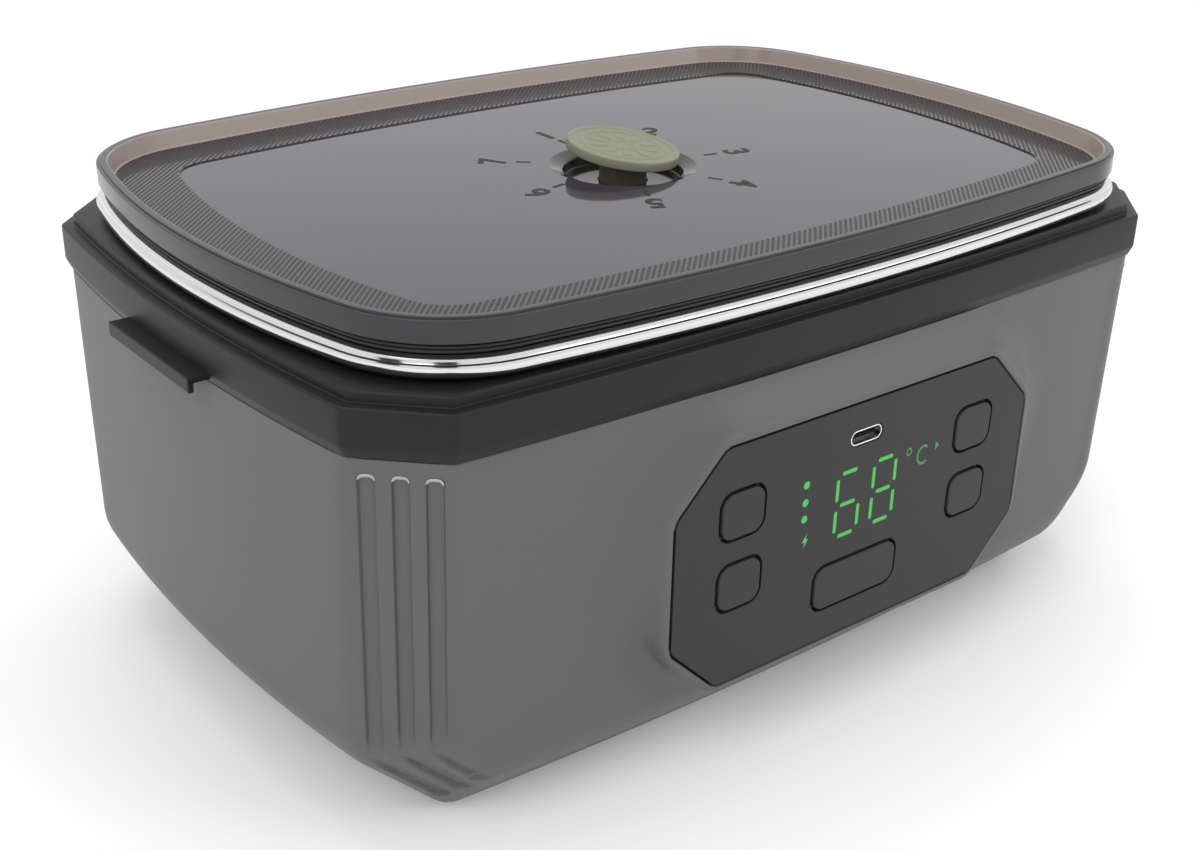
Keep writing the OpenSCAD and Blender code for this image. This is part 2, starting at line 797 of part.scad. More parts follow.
pan_flange_z = flange_top - pan_t;
film_z = well_z - film_t - seat_gap / 2;
pad_z = film_z - pad_t - seat_gap / 2;
thermo_r = 8;
thermo_h = 5;
fuse_r = 1.4;
fuse_l = 10;
fuse_x = 34;

module heating_film() {
  color([0.75, 0.42, 0.15])
    translate([0, 0, film_z])
      linear_extrude(film_t)
        rounded_box(film_l, film_w, 4);
}

module insulation_pad() {
  color([0.82, 0.82, 0.78])
    difference() {
      translate([0, 0, pad_z])
        linear_extrude(pad_t)
          rounded_box(film_l, film_w, 4);
      translate([0, 0, pad_z - cut_over])
        cylinder(r = thermo_r + round_gap, h = pad_t + 2 * cut_over, $fn = 48);
      translate([fuse_x - fuse_l / 2 - 1, -fuse_r - 1, pad_z - cut_over])
        cube([fuse_l + 2, 2 * fuse_r + 2, pad_t + 2 * cut_over]);
    }
}

module thermostat() {
  color([0.55, 0.56, 0.58]) {
    translate([0, 0, film_z - seat_gap / 2 - 1.2])
      cylinder(r = thermo_r, h = 1.2, $fn = 48);
    translate([0, 0, film_z - seat_gap / 2 - thermo_h])
      cylinder(r = thermo_r - 1.4, h = thermo_h - 1.1, $fn = 48);
    for (s = [-1, 1])
      translate([s * 3 - 1.2, -0.4, film_z - thermo_h - 1.6])
        cube([2.4, 0.8, 2]);
  }
}

module thermal_fuse() {
  color([0.8, 0.78, 0.7])
    translate([fuse_x, 0, film_z - seat_gap / 2 - fuse_r])
      rotate([0, 90, 0]) {
        cylinder(r = fuse_r, h = fuse_l - 3, center = true, $fn = 32);
        cylinder(r = 0.5, h = fuse_l, center = true, $fn = 24);
      }
}

// ---- Food pan ----

module food_pan() {
  bead_z = flange_top - bead_r;
  under = asin((bead_r - pan_t) / bead_r);
  profile = concat(
    foot_round(pan_foot, pan_z, pan_foot_r),
    [[pan_wall_r, pan_flange_z - 1.2], [pan_wall_r + 1.2, pan_flange_z]],
    [for (i = [0:9]) let (a = 180 - under + (270 + under) * i / 9) [bead_c + bead_r * cos(a), bead_z + bead_r * sin(a)]],
    [[pan_wall_r + 1, flange_top], [pan_wall_r - pan_t, flange_top - 1.6]],
    foot_round_in(pan_foot - pan_t, pan_z + pan_t, pan_foot_r - pan_t)
  );
  color([0.8, 0.81, 0.82])
    loft([for (p = profile) oval_ring(p)]);
}

// ---- Lid ----

boss_wall = 2;
recess_z = tray_z - recess_depth;
window_step = 0.3;
window_r = lid_corner_r - lid_rim_t - border_w;

module lid() {
  recess_low = recess_z - lid_plate;
  color([0.42, 0.42, 0.43])
    difference() {
      union() {
        loft([for (p = [
          [gasket_in_r - 0.4, plate_z],
          [gasket_in_r - 0.4, lid_edge_z],
          [lid_corner_r, lid_edge_z],
          [lid_corner_r, lid_top - 0.9],
          [lid_corner_r - 0.25, lid_top - 0.3],
          [lid_corner_r - 0.9, lid_top],
          [rim_in_r + 0.8, lid_top],
          [rim_in_r + 0.2, lid_top - 0.3],
          [rim_in_r, lid_top - 0.9],
          [rim_in_r - 0.8, tray_z]
        ]) oval_ring(p)]);
        oval_wall(spigot_r - spigot_t, spigot_r, plate_z - spigot_h, spigot_h + 1);
        translate([0, 0, recess_low])
          cylinder(r = recess_r + boss_wall, h = plate_z - recess_low + 1, $fn = 64);
      }
      translate([0, 0, tray_z - window_step])
        linear_extrude(window_step + cut_over)
          polygon(oval(window_r));
      translate([0, 0, recess_z])
        cylinder(r = recess_r, h = recess_depth + cut_over, $fn = 64);
      translate([0, 0, tray_z - 1.4])
        cylinder(r1 = recess_r, r2 = recess_r + recess_lip, h = 1.4, $fn = 64);
      translate([0, 0, recess_low - cut_over])
        cylinder(r = stem_r + stem_fit, h = lid_plate + 2 * cut_over, $fn = 48);
    }
}

module lid_gasket() {
  color([0.3, 0.28, 0.26])
    loft([for (p = [
      [gasket_out_r - 0.5, flange_top + seat_gap / 2],
      [gasket_out_r, flange_top + 0.5],
      [gasket_out_r, lid_edge_z - seat_gap / 2],
      [gasket_in_r, lid_edge_z - seat_gap / 2],
      [gasket_in_r, flange_top + 0.5],
      [gasket_in_r + 0.5, flange_top + seat_gap / 2]
    ]) oval_ring(p)], closed = true);
}

hub_h = 1.6;
pin_h = 2.4;
stop_t = 1.4;
stop_r = stem_r + 2;

// Places its children at the middle of the cap's top, tilted with it
module on_cap() {
  translate([0, 0, tray_z + cap_lift])
    rotate([0, 0, cap_tilt_dir])
      rotate([0, cap_tilt, 0])
        children();
}

module vent_valve() {
  low = recess_z - lid_plate - seat_gap / 2 - stop_t;
  color([0.42, 0.42, 0.34]) {
    difference() {
      union() {
        translate([0, 0, low])
          cylinder(r = stem_r, h = tray_z + cap_lift - low, $fn = 48);
        translate([0, 0, low])
          cylinder(r = stop_r, h = stop_t, $fn = 48);
      }
      on_cap()
        translate([-20, -20, -cap_t - hub_h - seat_gap / 2])
          cube([40, 40, 20]);
    }
    on_cap()
      translate([0, 0, -cap_t - hub_h - 1])
        cylinder(r = cap_pin_r, h = 1 + pin_h - seat_gap, $fn = 48);
  }
}

module vent_cap() {
  color([0.62, 0.62, 0.55])
    on_cap()
      difference() {
        union() {
          rotate_extrude($fn = 72)
            polygon([[0, -cap_t], [cap_r - 0.5, -cap_t], [cap_r, -cap_t + 0.5], [cap_r, -0.7], [cap_r - 0.7, 0], [0, 0]]);
          translate([0, 0, -cap_t - hub_h])
            cylinder(r = stem_r, h = hub_h + 1, $fn = 48);
        }
        translate([0, 0, -cap_t - hub_h - cut_over])
          cylinder(r = cap_pin_r + cap_pin_fit, h = cut_over + pin_h, $fn = 48);
      }
}

// ---- Control panel ----

module at_key(key) {
  translate([key[0], 0, panel_z + key[1]])
    rotate([90, 0, 0])
      children();
}

module control_fascia() {
  color([0.06, 0.06, 0.065])
    difference() {
      union() {
        front_plate(face_y, fascia_back - seat_gap)
          polygon(grown_octagon(panel_w, panel_h, panel_cut, 0));
        for (x = [-1, 1])
          for (z = [-1, 1])
            translate([x * fascia_post_x, board_y - seat_gap / 2, panel_z + z * fascia_post_z])
              rotate([90, 0, 0])
                cylinder(r = fascia_post_r, h = board_gap + 0.5, $fn = 32);
      }
      for (key = keys)
        at_key(key)
          translate([0, 0, -fascia_back - cut_over])
            linear_extrude(fascia_t + 2 * cut_over)
              rounded_box(key[2] + 2 * key_gap, key[3] + 2 * key_gap, key_r + key_gap);
      at_key([0, port_up])
        translate([0, 0, -fascia_back - cut_over])
          linear_extrude(fascia_t + 2 * cut_over)
            rounded_box(port_w + 0.4, port_h + 0.4, (port_h + 0.4) / 2 - tiny);
      for (x = [-1, 1])
        for (z = [-1, 1])
          translate([x * fascia_post_x, board_y + cut_over, panel_z + z * fascia_post_z])
            rotate([90, 0, 0])
              cylinder(r = screw_r + thread_gap, h = board_gap + cut_over, $fn = 24);
    }
}

// A button: its cap, the flange that holds it in, and the nub that works its switch
module key_piece(key) {
  flange_y = fascia_back + seat_gap / 2;
  nub = board_gap - switch_t - plunger_h - flange_t - key_travel - seat_gap;
  color([0.075, 0.075, 0.08])
    at_key(key) {
      translate([0, 0, -flange_y - tiny])
        linear_extrude(fascia_t + seat_gap / 2 + key_proud)
          rounded_box(key[2], key[3], key_r);
      translate([0, 0, -flange_y - flange_t])
        linear_extrude(flange_t)
          rounded_box(key[2] + 2 * key_flange, key[3] + 2 * key_flange, key_r + key_flange);
      translate([0, 0, -flange_y - flange_t - nub])
        cylinder(r = stem_nub_r, h = nub + tiny, $fn = 32);
    }
}

module key_left_upper() { key_piece(keys[0]); }
module key_left_lower() { key_piece(keys[1]); }
module key_right_upper() { key_piece(keys[2]); }
module key_right_lower() { key_piece(keys[3]); }
module power_key() { key_piece(keys[4]); }

module key_switches() {
  color([0.55, 0.56, 0.57])
    for (key = keys)
      at_key(key)
        translate([0, 0, -board_y + seat_gap / 2]) {
          translate([-switch_side / 2, -switch_side / 2, 0])
            cube([switch_side, switch_side, switch_t]);
          cylinder(r = plunger_r, h = switch_t + plunger_h, $fn = 32);
        }
}

module display_module() {
  color([0.14, 0.15, 0.15])
    translate([display_right - display_w / 2, fascia_back, panel_z + display_up - display_h / 2])
      cube([display_w, board_gap - seat_gap / 2, display_h]);
}

module control_board() {
  color([0.1, 0.3, 0.2])
    difference() {
      front_plate(board_y, board_back)
        polygon(grown_octagon(board_w, board_h, panel_cut, 0));
      for (x = [-1, 1])
        for (z = [-1, 1])
          translate([x * fascia_post_x, board_back + cut_over, panel_z + z * fascia_post_z])
            rotate([90, 0, 0])
              cylinder(r = screw_r + screw_fit, h = board_t + 2 * cut_over, $fn = 24);
    }
}

module board_screws() {
  color([0.62, 0.63, 0.64])
    for (x = [-1, 1])
      for (z = [-1, 1])
        translate([x * fascia_post_x, board_back + seat_gap / 2, panel_z + z * fascia_post_z])
          rotate([-90, 0, 0])
            screw(board_t + board_gap - 0.6);
}

port_front = face_y + 0.2;

module port_shell() {
  color([0.7, 0.71, 0.72])
    at_key([0, port_up])
      translate([0, 0, -board_y + seat_gap / 2])
        linear_extrude(board_y - port_front - seat_gap / 2)
          difference() {
            rounded_box(port_w, port_h, port_h / 2 - tiny);
            rounded_box(port_w - 2 * port_wall, port_h - 2 * port_wall, port_h / 2 - port_wall - tiny);
          }
}

module port_tongue() {
  color([0.08, 0.08, 0.08])
    translate([-tongue_w / 2, port_front + 0.8, panel_z + port_up - tongue_t / 2])
      cube([tongue_w, board_y - port_front - 0.8 - seat_gap / 2, tongue_t]);
}

// ---- Cells, boards and leads on the base cover ----

// The charging board lies in the strip between the holder and the ledge of the base opening
power_strip = cover_half_d - cover_ledge - holder_w / 2;
power_place = 0.5472;
power_margins = 2.9;
power_y = holder_w / 2 + power_place * power_strip;
power_l = 66;
power_d = power_strip - power_margins;
coil_x = -15;
coil_r = 4.5;
coil_h = 7;
can_x = [-5, 17];
can_r = 2.6;
can_h = 9;
chip_x = 3;
chip_l = 7;
chip_w = 6;
chip_h = 1.6;
board_post_x = power_l / 2 - 5;
board_post_h = 4;
power_screw_l = 5;
lug_boss_h = 4;
lug_plate = 2;
cradle_gap = 0.25;
strip_w = 8;
strip_tab = 14;
heater_lead_x = 8;

module battery_holder() {
  color([0.16, 0.16, 0.17])
    difference() {
      union() {
        translate([-holder_half, -holder_w / 2, cover_top])
          cube([2 * holder_half, holder_w, holder_h]);
        for (s = [-1, 1])
          translate([s * lug_x - lug_w / 2, s > 0 ? holder_w / 2 - 1 : -holder_w / 2 - lug_l + 1, cover_top + lug_boss_h + seat_gap / 2])
            cube([lug_w, lug_l, lug_plate]);
      }
      for (s = [-1, 1])
        for (k = [-1:1])
          translate([s > 0 ? cell_space / 2 - strip_t - 2 * cell_gap : -cells_half - strip_t - 2 * cell_gap, k * cell_row, cell_z])
            rotate([0, 90, 0])
              cylinder(r = cell_r + cradle_gap, h = cell_l + 2 * strip_t + 4 * cell_gap, $fn = 48);
      for (s = [-1, 1])
        translate([s * lug_x, s * lug_y, cover_top])
          cylinder(r = screw_r + screw_fit, h = 12, $fn = 24);
    }
}

module holder_screws() {
  color([0.62, 0.63, 0.64])
    for (s = [-1, 1])
      translate([s * lug_x, s * lug_y, cover_top + lug_boss_h + lug_plate + seat_gap])
        screw(lug_plate + power_screw_l - 0.6);
}

module battery_cells() {
  color([0.12, 0.28, 0.45])
    for (s = [-1, 1])
      for (k = [-1:1])
        translate([s > 0 ? cell_space / 2 : -cells_half, k * cell_row, cell_z])
          rotate([0, 90, 0])
            cylinder(r = cell_r, h = cell_l, $fn = 48);
}

module cell_strips() {
  color([0.75, 0.75, 0.74])
    for (x = [-cells_half - cell_gap - strip_t, -cell_space / 2 + cell_gap, cell_space / 2 - cell_gap - strip_t, cells_half + cell_gap])
      for (k = [-1:1])
        translate([x, k * cell_row - strip_w / 2, cell_z - strip_w / 2])
          cube([strip_t, strip_w, abs(x) > cell_l ? strip_tab : strip_w]);
}

module power_board() {
  top = cover_top + board_post_h + seat_gap / 2 + board_t;
  color([0.1, 0.3, 0.2]) {
    difference() {
      translate([-power_l / 2, power_y - power_d / 2, top - board_t])
        cube([power_l, power_d, board_t]);
      for (x = [-1, 1])
        translate([x * board_post_x, power_y, cover_top])
          cylinder(r = screw_r + screw_fit, h = 20, $fn = 24);
    }
    translate([coil_x, power_y, top - tiny])
      cylinder(r = coil_r, h = coil_h, $fn = 40);
    for (x = can_x)
      translate([x, power_y, top - tiny])
        cylinder(r = can_r, h = can_h, $fn = 32);
    translate([chip_x, power_y - chip_w / 2, top - tiny])
      cube([chip_l, chip_w, chip_h]);
  }
}

module power_screws() {
  color([0.62, 0.63, 0.64])
    for (x = [-1, 1])
      translate([x * board_post_x, power_y, cover_top + board_post_h + board_t + seat_gap])
        screw(board_t + power_screw_l - 0.6);
}

module battery_leads() {
  out_x = cells_half + cell_gap + strip_t + wire_r + 0.05;
  side_y = -holder_w / 2 - 6;
  start_z = cell_z + 4;
  in_x = 20;
  end_z1 = panel_z - board_h / 2 + 4;
  color([0.6, 0.1, 0.08])
    for (k = [-1, 1]) {
      translate([k * out_x, side_y, start_z])
        rotate([-90, 0, 0])
          cylinder(r = wire_r, h = -cell_row - side_y, $fn = 24);
      translate([k > 0 ? in_x : -out_x, side_y, start_z])
        rotate([0, 90, 0])
          cylinder(r = wire_r, h = out_x - in_x, $fn = 24);
      translate([k * in_x, side_y, start_z])
        cylinder(r = wire_r, h = end_z1 - start_z, $fn = 24);
      translate([k * in_x, board_back + 0.05, end_z1])
        rotate([-90, 0, 0])
          cylinder(r = wire_r, h = side_y - board_back - 0.05, $fn = 24);
      for (bend = [[out_x, start_z], [in_x, start_z], [in_x, end_z1]])
        translate([k * bend[0], side_y, bend[1]])
          sphere(r = wire_r + 0.15, $fn = 24);
    }
}

module heater_leads() {
  color([0.8, 0.8, 0.78])
    for (k = [-1, 1])
      translate([k * heater_lead_x, board_back + 0.05, film_z + film_t - wire_r])
        rotate([-90, 0, 0])
          cylinder(r = wire_r, h = -film_w / 2 - board_back - 0.1, $fn = 16);
}

outer_shell();
top_collar();
collar_screws();
base_cover();
base_screws();
rubber_feet();
heat_well();
seat_ring();
heating_film();
insulation_pad();
thermostat();
thermal_fuse();
food_pan();
lid();
lid_gasket();
vent_valve();
vent_cap();
control_fascia();
key_left_upper();
key_left_lower();
key_right_upper();
key_right_lower();
power_key();
key_switches();
display_module();
control_board();
board_screws();
port_shell();
port_tongue();
battery_cells();
battery_holder();
holder_screws();
cell_strips();
power_board();
power_screws();
battery_leads();
heater_leads();
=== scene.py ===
import json
import math

import bmesh
import bpy
import numpy as np
from mathutils import Matrix, Vector

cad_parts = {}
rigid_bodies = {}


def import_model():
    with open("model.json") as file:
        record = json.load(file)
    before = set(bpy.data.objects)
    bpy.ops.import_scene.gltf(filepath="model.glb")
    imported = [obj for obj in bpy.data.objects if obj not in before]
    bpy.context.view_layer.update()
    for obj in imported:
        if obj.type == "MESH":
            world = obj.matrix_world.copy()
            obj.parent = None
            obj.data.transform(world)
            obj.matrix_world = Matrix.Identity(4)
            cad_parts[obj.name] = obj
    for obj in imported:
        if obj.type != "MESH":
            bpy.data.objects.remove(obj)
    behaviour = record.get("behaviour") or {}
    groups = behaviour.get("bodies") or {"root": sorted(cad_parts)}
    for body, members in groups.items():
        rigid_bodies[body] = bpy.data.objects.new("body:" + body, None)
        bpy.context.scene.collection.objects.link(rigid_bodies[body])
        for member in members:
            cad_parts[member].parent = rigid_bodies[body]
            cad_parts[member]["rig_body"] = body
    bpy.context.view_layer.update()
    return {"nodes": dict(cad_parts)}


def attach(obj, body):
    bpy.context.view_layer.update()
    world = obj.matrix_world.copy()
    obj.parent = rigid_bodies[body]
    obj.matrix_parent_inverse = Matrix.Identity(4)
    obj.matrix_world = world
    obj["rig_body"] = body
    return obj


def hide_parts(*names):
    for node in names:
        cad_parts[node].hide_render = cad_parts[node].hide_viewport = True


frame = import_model()
print("frame loaded")

unit = 0.001  # everything below is worked out in millimetres
root2 = math.sqrt(2)

# sizes shared with the solids: outlines, levels and the panel
size = dict(
    halfW=107.2, halfD=72.4, endBulge=4.1, frontBulge=2.8, cut=14.0, inset=0.8,
    lean=1.4, baseZ=1.5, shellTop=84.1, endZ=21.1, frontZ=15.5, skew=1.3,
    bandWall=86.3, bandTop=93.7, deckZ=95.8, lidEdge=103.0, lidTop=107.7, trayZ=103.7,
    ovalX=74.95, ovalY=43.1, lidEndBulge=5.3, lidFrontBulge=4.0, lidR=27.0,
    faceY=-79.2, panelZ=48.3, panelHalfW=50, panelHalfH=26, panelCut=12,
)

# how many straight steps each run of an outline has
outlineSteps = dict(front=40, end=28, longArc=44, cornerArc=16, endArc=30)


def cutLeg(inset):
    return size["cut"] - inset * (2 - root2)


def leanIn(z):
    # how far the front and back faces have leaned in at a height
    return size["lean"] * (size["shellTop"] - z) / (size["shellTop"] - size["frontZ"])


def softCorner(before, corner, after, reach, steps=4):
    # a rounded vertex between two straight-ish runs
    pb = corner + (before - corner).normalized() * reach
    pa = corner + (after - corner).normalized() * reach
    out = []
    for i in range(steps + 1):
        t = i / steps
        out.append(pb * (1 - t) ** 2 + corner * 2 * t * (1 - t) + pa * t ** 2)
    return out


def bodyOutline(inset, reach=0.9):
    # the band's outline, bulged faces and cut corners, anticlockwise from the near left cut
    hw, hd, leg = size["halfW"] - inset, size["halfD"] - inset, cutLeg(inset)
    nFront, nEnd = outlineSteps["front"], outlineSteps["end"]
    front = [Vector((t * (hw - leg), -hd - size["frontBulge"] * (1 - t * t)))
             for t in [-1 + 2 * i / nFront for i in range(nFront + 1)]]
    end = [Vector((hw + size["endBulge"] * (1 - t * t), t * (hd - leg)))
           for t in [-1 + 2 * i / nEnd for i in range(nEnd + 1)]]
    back = [-p for p in front]
    left = [-p for p in end]
    points = []
    for run, after in ((front, end), (end, back), (back, left), (left, front)):
        points += run[1:-1]
        points += softCorner(run[-2], run[-1], after[0], reach)
        points += softCorner(run[-1], after[0], after[1], reach)
    return points


def ovalOutline(r):
    # the lid's outline at an offset: two long arcs, two end arcs and four corner arcs
    n = outlineSteps
    ax, ay, bf, be = size["ovalX"], size["ovalY"], size["lidFrontBulge"], size["lidEndBulge"]
    rf, re = (ax * ax + bf * bf) / (2 * bf), (ay * ay + be * be) / (2 * be)
    hf, he = math.asin(ax / rf), math.asin(ay / re)

    def arc(cx, cy, rad, a0, a1, steps):
        return [Vector((cx + rad * math.cos(a0 + (a1 - a0) * i / steps),
                        cy + rad * math.sin(a0 + (a1 - a0) * i / steps))) for i in range(steps)]

    q = math.pi / 2
    right = (arc(0, rf - ay - bf, rf + r, -q - hf, -q + hf, n["longArc"])
             + arc(ax, -ay, r, -q + hf, -he, n["cornerArc"])
             + arc(ax + be - re, 0, re + r, -he, he, n["endArc"])
             + arc(ax, ay, r, he, q - hf, n["cornerArc"]))
    return right + [-p for p in right]


def ovalRings(profile):
    return [[(p.x, p.y, z) for p in ovalOutline(r)] for r, z in profile]


def bodyRings(profile):
    return [[(p.x, p.y, z) for p in bodyOutline(inset)] for inset, z in profile]


def rounded(profile, radii, steps=5):
    # rounds the corners of an open profile of (r, z) points; radii: corner index to reach
    out = []
    for i, p in enumerate(profile):
        if i in radii and 0 < i < len(profile) - 1:
            before, corner, after = (Vector(profile[j]) for j in (i - 1, i, i + 1))
            out += [tuple(q) for q in softCorner(before, corner, after, radii[i], steps)]
        else:
            out.append(p)
    return out


def addObject(name, data):
    made = bpy.data.objects.new(name, data)
    bpy.context.scene.collection.objects.link(made)
    return made


def shownPiece(name, mesh, material, body, replaces=(), sharp=35):
    mesh.shade_smooth()
    mesh.set_sharp_from_angle(angle=math.radians(sharp))
    piece = addObject(name, mesh)
    mesh.materials.clear()
    mesh.materials.append(material)
    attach(piece, body)
    if replaces:
        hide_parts(*replaces)
    return piece


def meshPiece(name, verts, faces, material, body, replaces=(), sharp=35):
    mesh = bpy.data.meshes.new(name)
    mesh.from_pydata([tuple(c * unit for c in v) for v in verts], [], faces)
    mesh.validate()
    bm = bmesh.new()
    bm.from_mesh(mesh)
    bmesh.ops.recalc_face_normals(bm, faces=bm.faces)
    bm.to_mesh(mesh)
    bm.free()
    return shownPiece(name, mesh, material, body, replaces, sharp)


def ringFaces(count, n, base=0):
    # the quads between one ring of n points and the next
    return [(base + k * n + i, base + k * n + (i + 1) % n,
             base + (k + 1) * n + (i + 1) % n, base + (k + 1) * n + i)
            for k in range(count - 1) for i in range(n)]


def loftPiece(name, rings, material, body, replaces=(), caps=(False, False), sharp=35):
    # rings: lists of (x, y, z) with equal counts
    n, m = len(rings[0]), len(rings)
    verts = [tuple(p) for ring in rings for p in ring]
    faces = ringFaces(m, n)
    if caps[0]:
        faces.append(tuple(range(n - 1, -1, -1)))
    if caps[1]:
        faces.append(tuple((m - 1) * n + i for i in range(n)))
    return meshPiece(name, verts, faces, material, body, replaces, sharp)


def lathePiece(name, profile, material, body, replaces=(), steps=96, place=None, sharp=35):
    verts, faces = [], []
    m = len(profile)
    for i in range(steps):
        a = 2 * math.pi * i / steps
        for r, z in profile:
            p = Vector((r * math.cos(a), r * math.sin(a), z))
            verts.append(tuple(place @ p) if place else tuple(p))
    for i in range(steps):
        j = (i + 1) % steps
        for k in range(m - 1):
            faces.append((i * m + k, j * m + k, j * m + k + 1, i * m + k + 1))
    return meshPiece(name, verts, faces, material, body, replaces, sharp)


def softenEdges(piece, width, segments=3, angle=30):
    mod = piece.modifiers.new("edges", "BEVEL")
    mod.width = width * unit
    mod.segments = segments
    mod.limit_method = "ANGLE"
    mod.angle_limit = math.radians(angle)
    mod.harden_normals = True


def cadCopy(node, name, material, bevel=0.0, segments=3, weld=0.002, flat=1):
    # a softened copy of a CAD node, which it stands for
    source = frame["nodes"][node]
    mesh = source.data.copy()
    mesh.name = name
    bm = bmesh.new()
    bm.from_mesh(mesh)
    bmesh.ops.remove_doubles(bm, verts=bm.verts, dist=weld * unit)
    bmesh.ops.dissolve_limit(bm, angle_limit=math.radians(flat), verts=bm.verts, edges=bm.edges)
    bm.to_mesh(mesh)
    bm.free()
    for a in ("custom_normal", "_NORMAL"):
        if a in mesh.attributes:
            mesh.attributes.remove(mesh.attributes[a])
    piece = shownPiece(name, mesh, material, source["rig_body"], (node,))
    if bevel:
        softenEdges(piece, bevel, segments)
    return piece


# fine grain and slow changes of roughness, shared by all finishes
finishLook = dict(grainDetail=3, grainHeight=0.0002, mottleSize=28, mottleDetail=4)


def plainMaterial(name, color, rough=0.5, metal=0.0, grain=0.0, grainSize=900.0, spec=0.5,
                  mottle=0.0, glow=None, glowPower=0.0):
    k = finishLook
    m = bpy.data.materials.new(name)
    m.use_nodes = True
    nt = m.node_tree
    b = nt.nodes["Principled BSDF"]
    b.inputs["Base Color"].default_value = (*color, 1)
    b.inputs["Roughness"].default_value = rough
    b.inputs["Metallic"].default_value = metal
    b.inputs["Specular IOR Level"].default_value = spec
    if glow:
        b.inputs["Emission Color"].default_value = (*glow, 1)
        b.inputs["Emission Strength"].default_value = glowPower
    coord = nt.nodes.new("ShaderNodeTexCoord")
    if grain:
        noise = nt.nodes.new("ShaderNodeTexNoise")
        noise.inputs["Scale"].default_value = grainSize
        noise.inputs["Detail"].default_value = k["grainDetail"]
        bump = nt.nodes.new("ShaderNodeBump")
        bump.inputs["Strength"].default_value = grain
        bump.inputs["Distance"].default_value = k["grainHeight"]
        nt.links.new(coord.outputs["Object"], noise.inputs["Vector"])
        nt.links.new(noise.outputs["Fac"], bump.inputs["Height"])
        nt.links.new(bump.outputs["Normal"], b.inputs["Normal"])
    if mottle:
        cloud = nt.nodes.new("ShaderNodeTexNoise")
        cloud.inputs["Scale"].default_value = k["mottleSize"]
        cloud.inputs["Detail"].default_value = k["mottleDetail"]
        spread = nt.nodes.new("ShaderNodeMapRange")
        spread.inputs["To Min"].default_value = rough - mottle
        spread.inputs["To Max"].default_value = rough + mottle
        nt.links.new(coord.outputs["Object"], cloud.inputs["Vector"])
        nt.links.new(cloud.outputs["Fac"], spread.inputs["Value"])
        nt.links.new(spread.outputs["Result"], b.inputs["Roughness"])
    return m


mats = dict(
    shell=plainMaterial("greyShell", (0.098, 0.099, 0.1), 0.46, grain=0.12, mottle=0.04, spec=0.35),
    # light grey for the groove crescents: a painted highlight
    lip=plainMaterial("paintedHighlightGrey", (0.42, 0.42, 0.42), 0.3),
    band=plainMaterial("blackBand", (0.015, 0.015, 0.016), 0.42, grain=0.08, mottle=0.05, spec=0.2),
    fascia=plainMaterial("blackFascia", (0.026, 0.026, 0.028), 0.45, grain=0.05, mottle=0.03, spec=0.26),
    button=plainMaterial("blackButton", (0.028, 0.028, 0.03), 0.42, grain=0.05, mottle=0.03, spec=0.26),
    # black for dark inner parts, the stage's dark cards, and the sheet of painted shade behind the button
    # gaps
    dark=plainMaterial("darkInsideAndShade", (0.004, 0.004, 0.004), 0.6, spec=0.1),
    steel=plainMaterial("steelRim", (0.68, 0.68, 0.69), 0.13, metal=1.0, grain=0.02, grainSize=300),
    steelIn=plainMaterial("steelPan", (0.47, 0.47, 0.48), 0.3, metal=1.0, grain=0.03, grainSize=500),
    well=plainMaterial("wellMetal", (0.6, 0.6, 0.61), 0.4, metal=1.0, grain=0.1),
    lidRim=plainMaterial("smokedRim", (0.038, 0.038, 0.041), 0.2, spec=0.29),
    lidInner=plainMaterial("smokedInner", (0.33, 0.265, 0.235), 0.2, spec=0.45),
    border=plainMaterial("smokedBorder", (0.03, 0.029, 0.032), 0.12, spec=0.43),
    rib=plainMaterial("smokedRib", (0.026, 0.025, 0.028), 0.42, spec=0.22),
    window=plainMaterial("smokedWindow", (0.047, 0.042, 0.052), 0.06, spec=0.42),
    # the lid's smoked plastic in the recess, darker and tinted olive: painted shade and a painted reflection
    # of the green cap
    recess=plainMaterial("smokedRecessPaintedShade", (0.03, 0.031, 0.024), 0.1, spec=0.4),
    seal=plainMaterial("lidSeal", (0.013, 0.012, 0.011), 0.38, spec=0.4),
    ink=plainMaterial("blackInk", (0.012, 0.011, 0.013), 0.5, spec=0.2),
    cap=plainMaterial("valveCap", (0.225, 0.23, 0.165), 0.5, grain=0.05, spec=0.3),
    # the stem: the cap's olive green darkened, painted shade under the cap
    stem=plainMaterial("valveStemShaded", (0.085, 0.086, 0.055), 0.5),
    rubber=plainMaterial("blackRubber", (0.02, 0.02, 0.02), 0.8, grain=0.2),
    silicone=plainMaterial("paleSilicone", (0.45, 0.45, 0.44), 0.6),
    portMetal=plainMaterial("portMetal", (0.75, 0.75, 0.76), 0.2, metal=1.0),
    screw=plainMaterial("zincScrew", (0.55, 0.55, 0.56), 0.35, metal=1.0),
    light=plainMaterial("greenLight", (0.02, 0.08, 0.02), 0.5, glow=(0.035, 0.42, 0.045), glowPower=1.0),
    dimLight=plainMaterial("dimGreenLight", (0.02, 0.06, 0.02), 0.5, glow=(0.03, 0.22, 0.035), glowPower=1.0),
)
print("materials made")


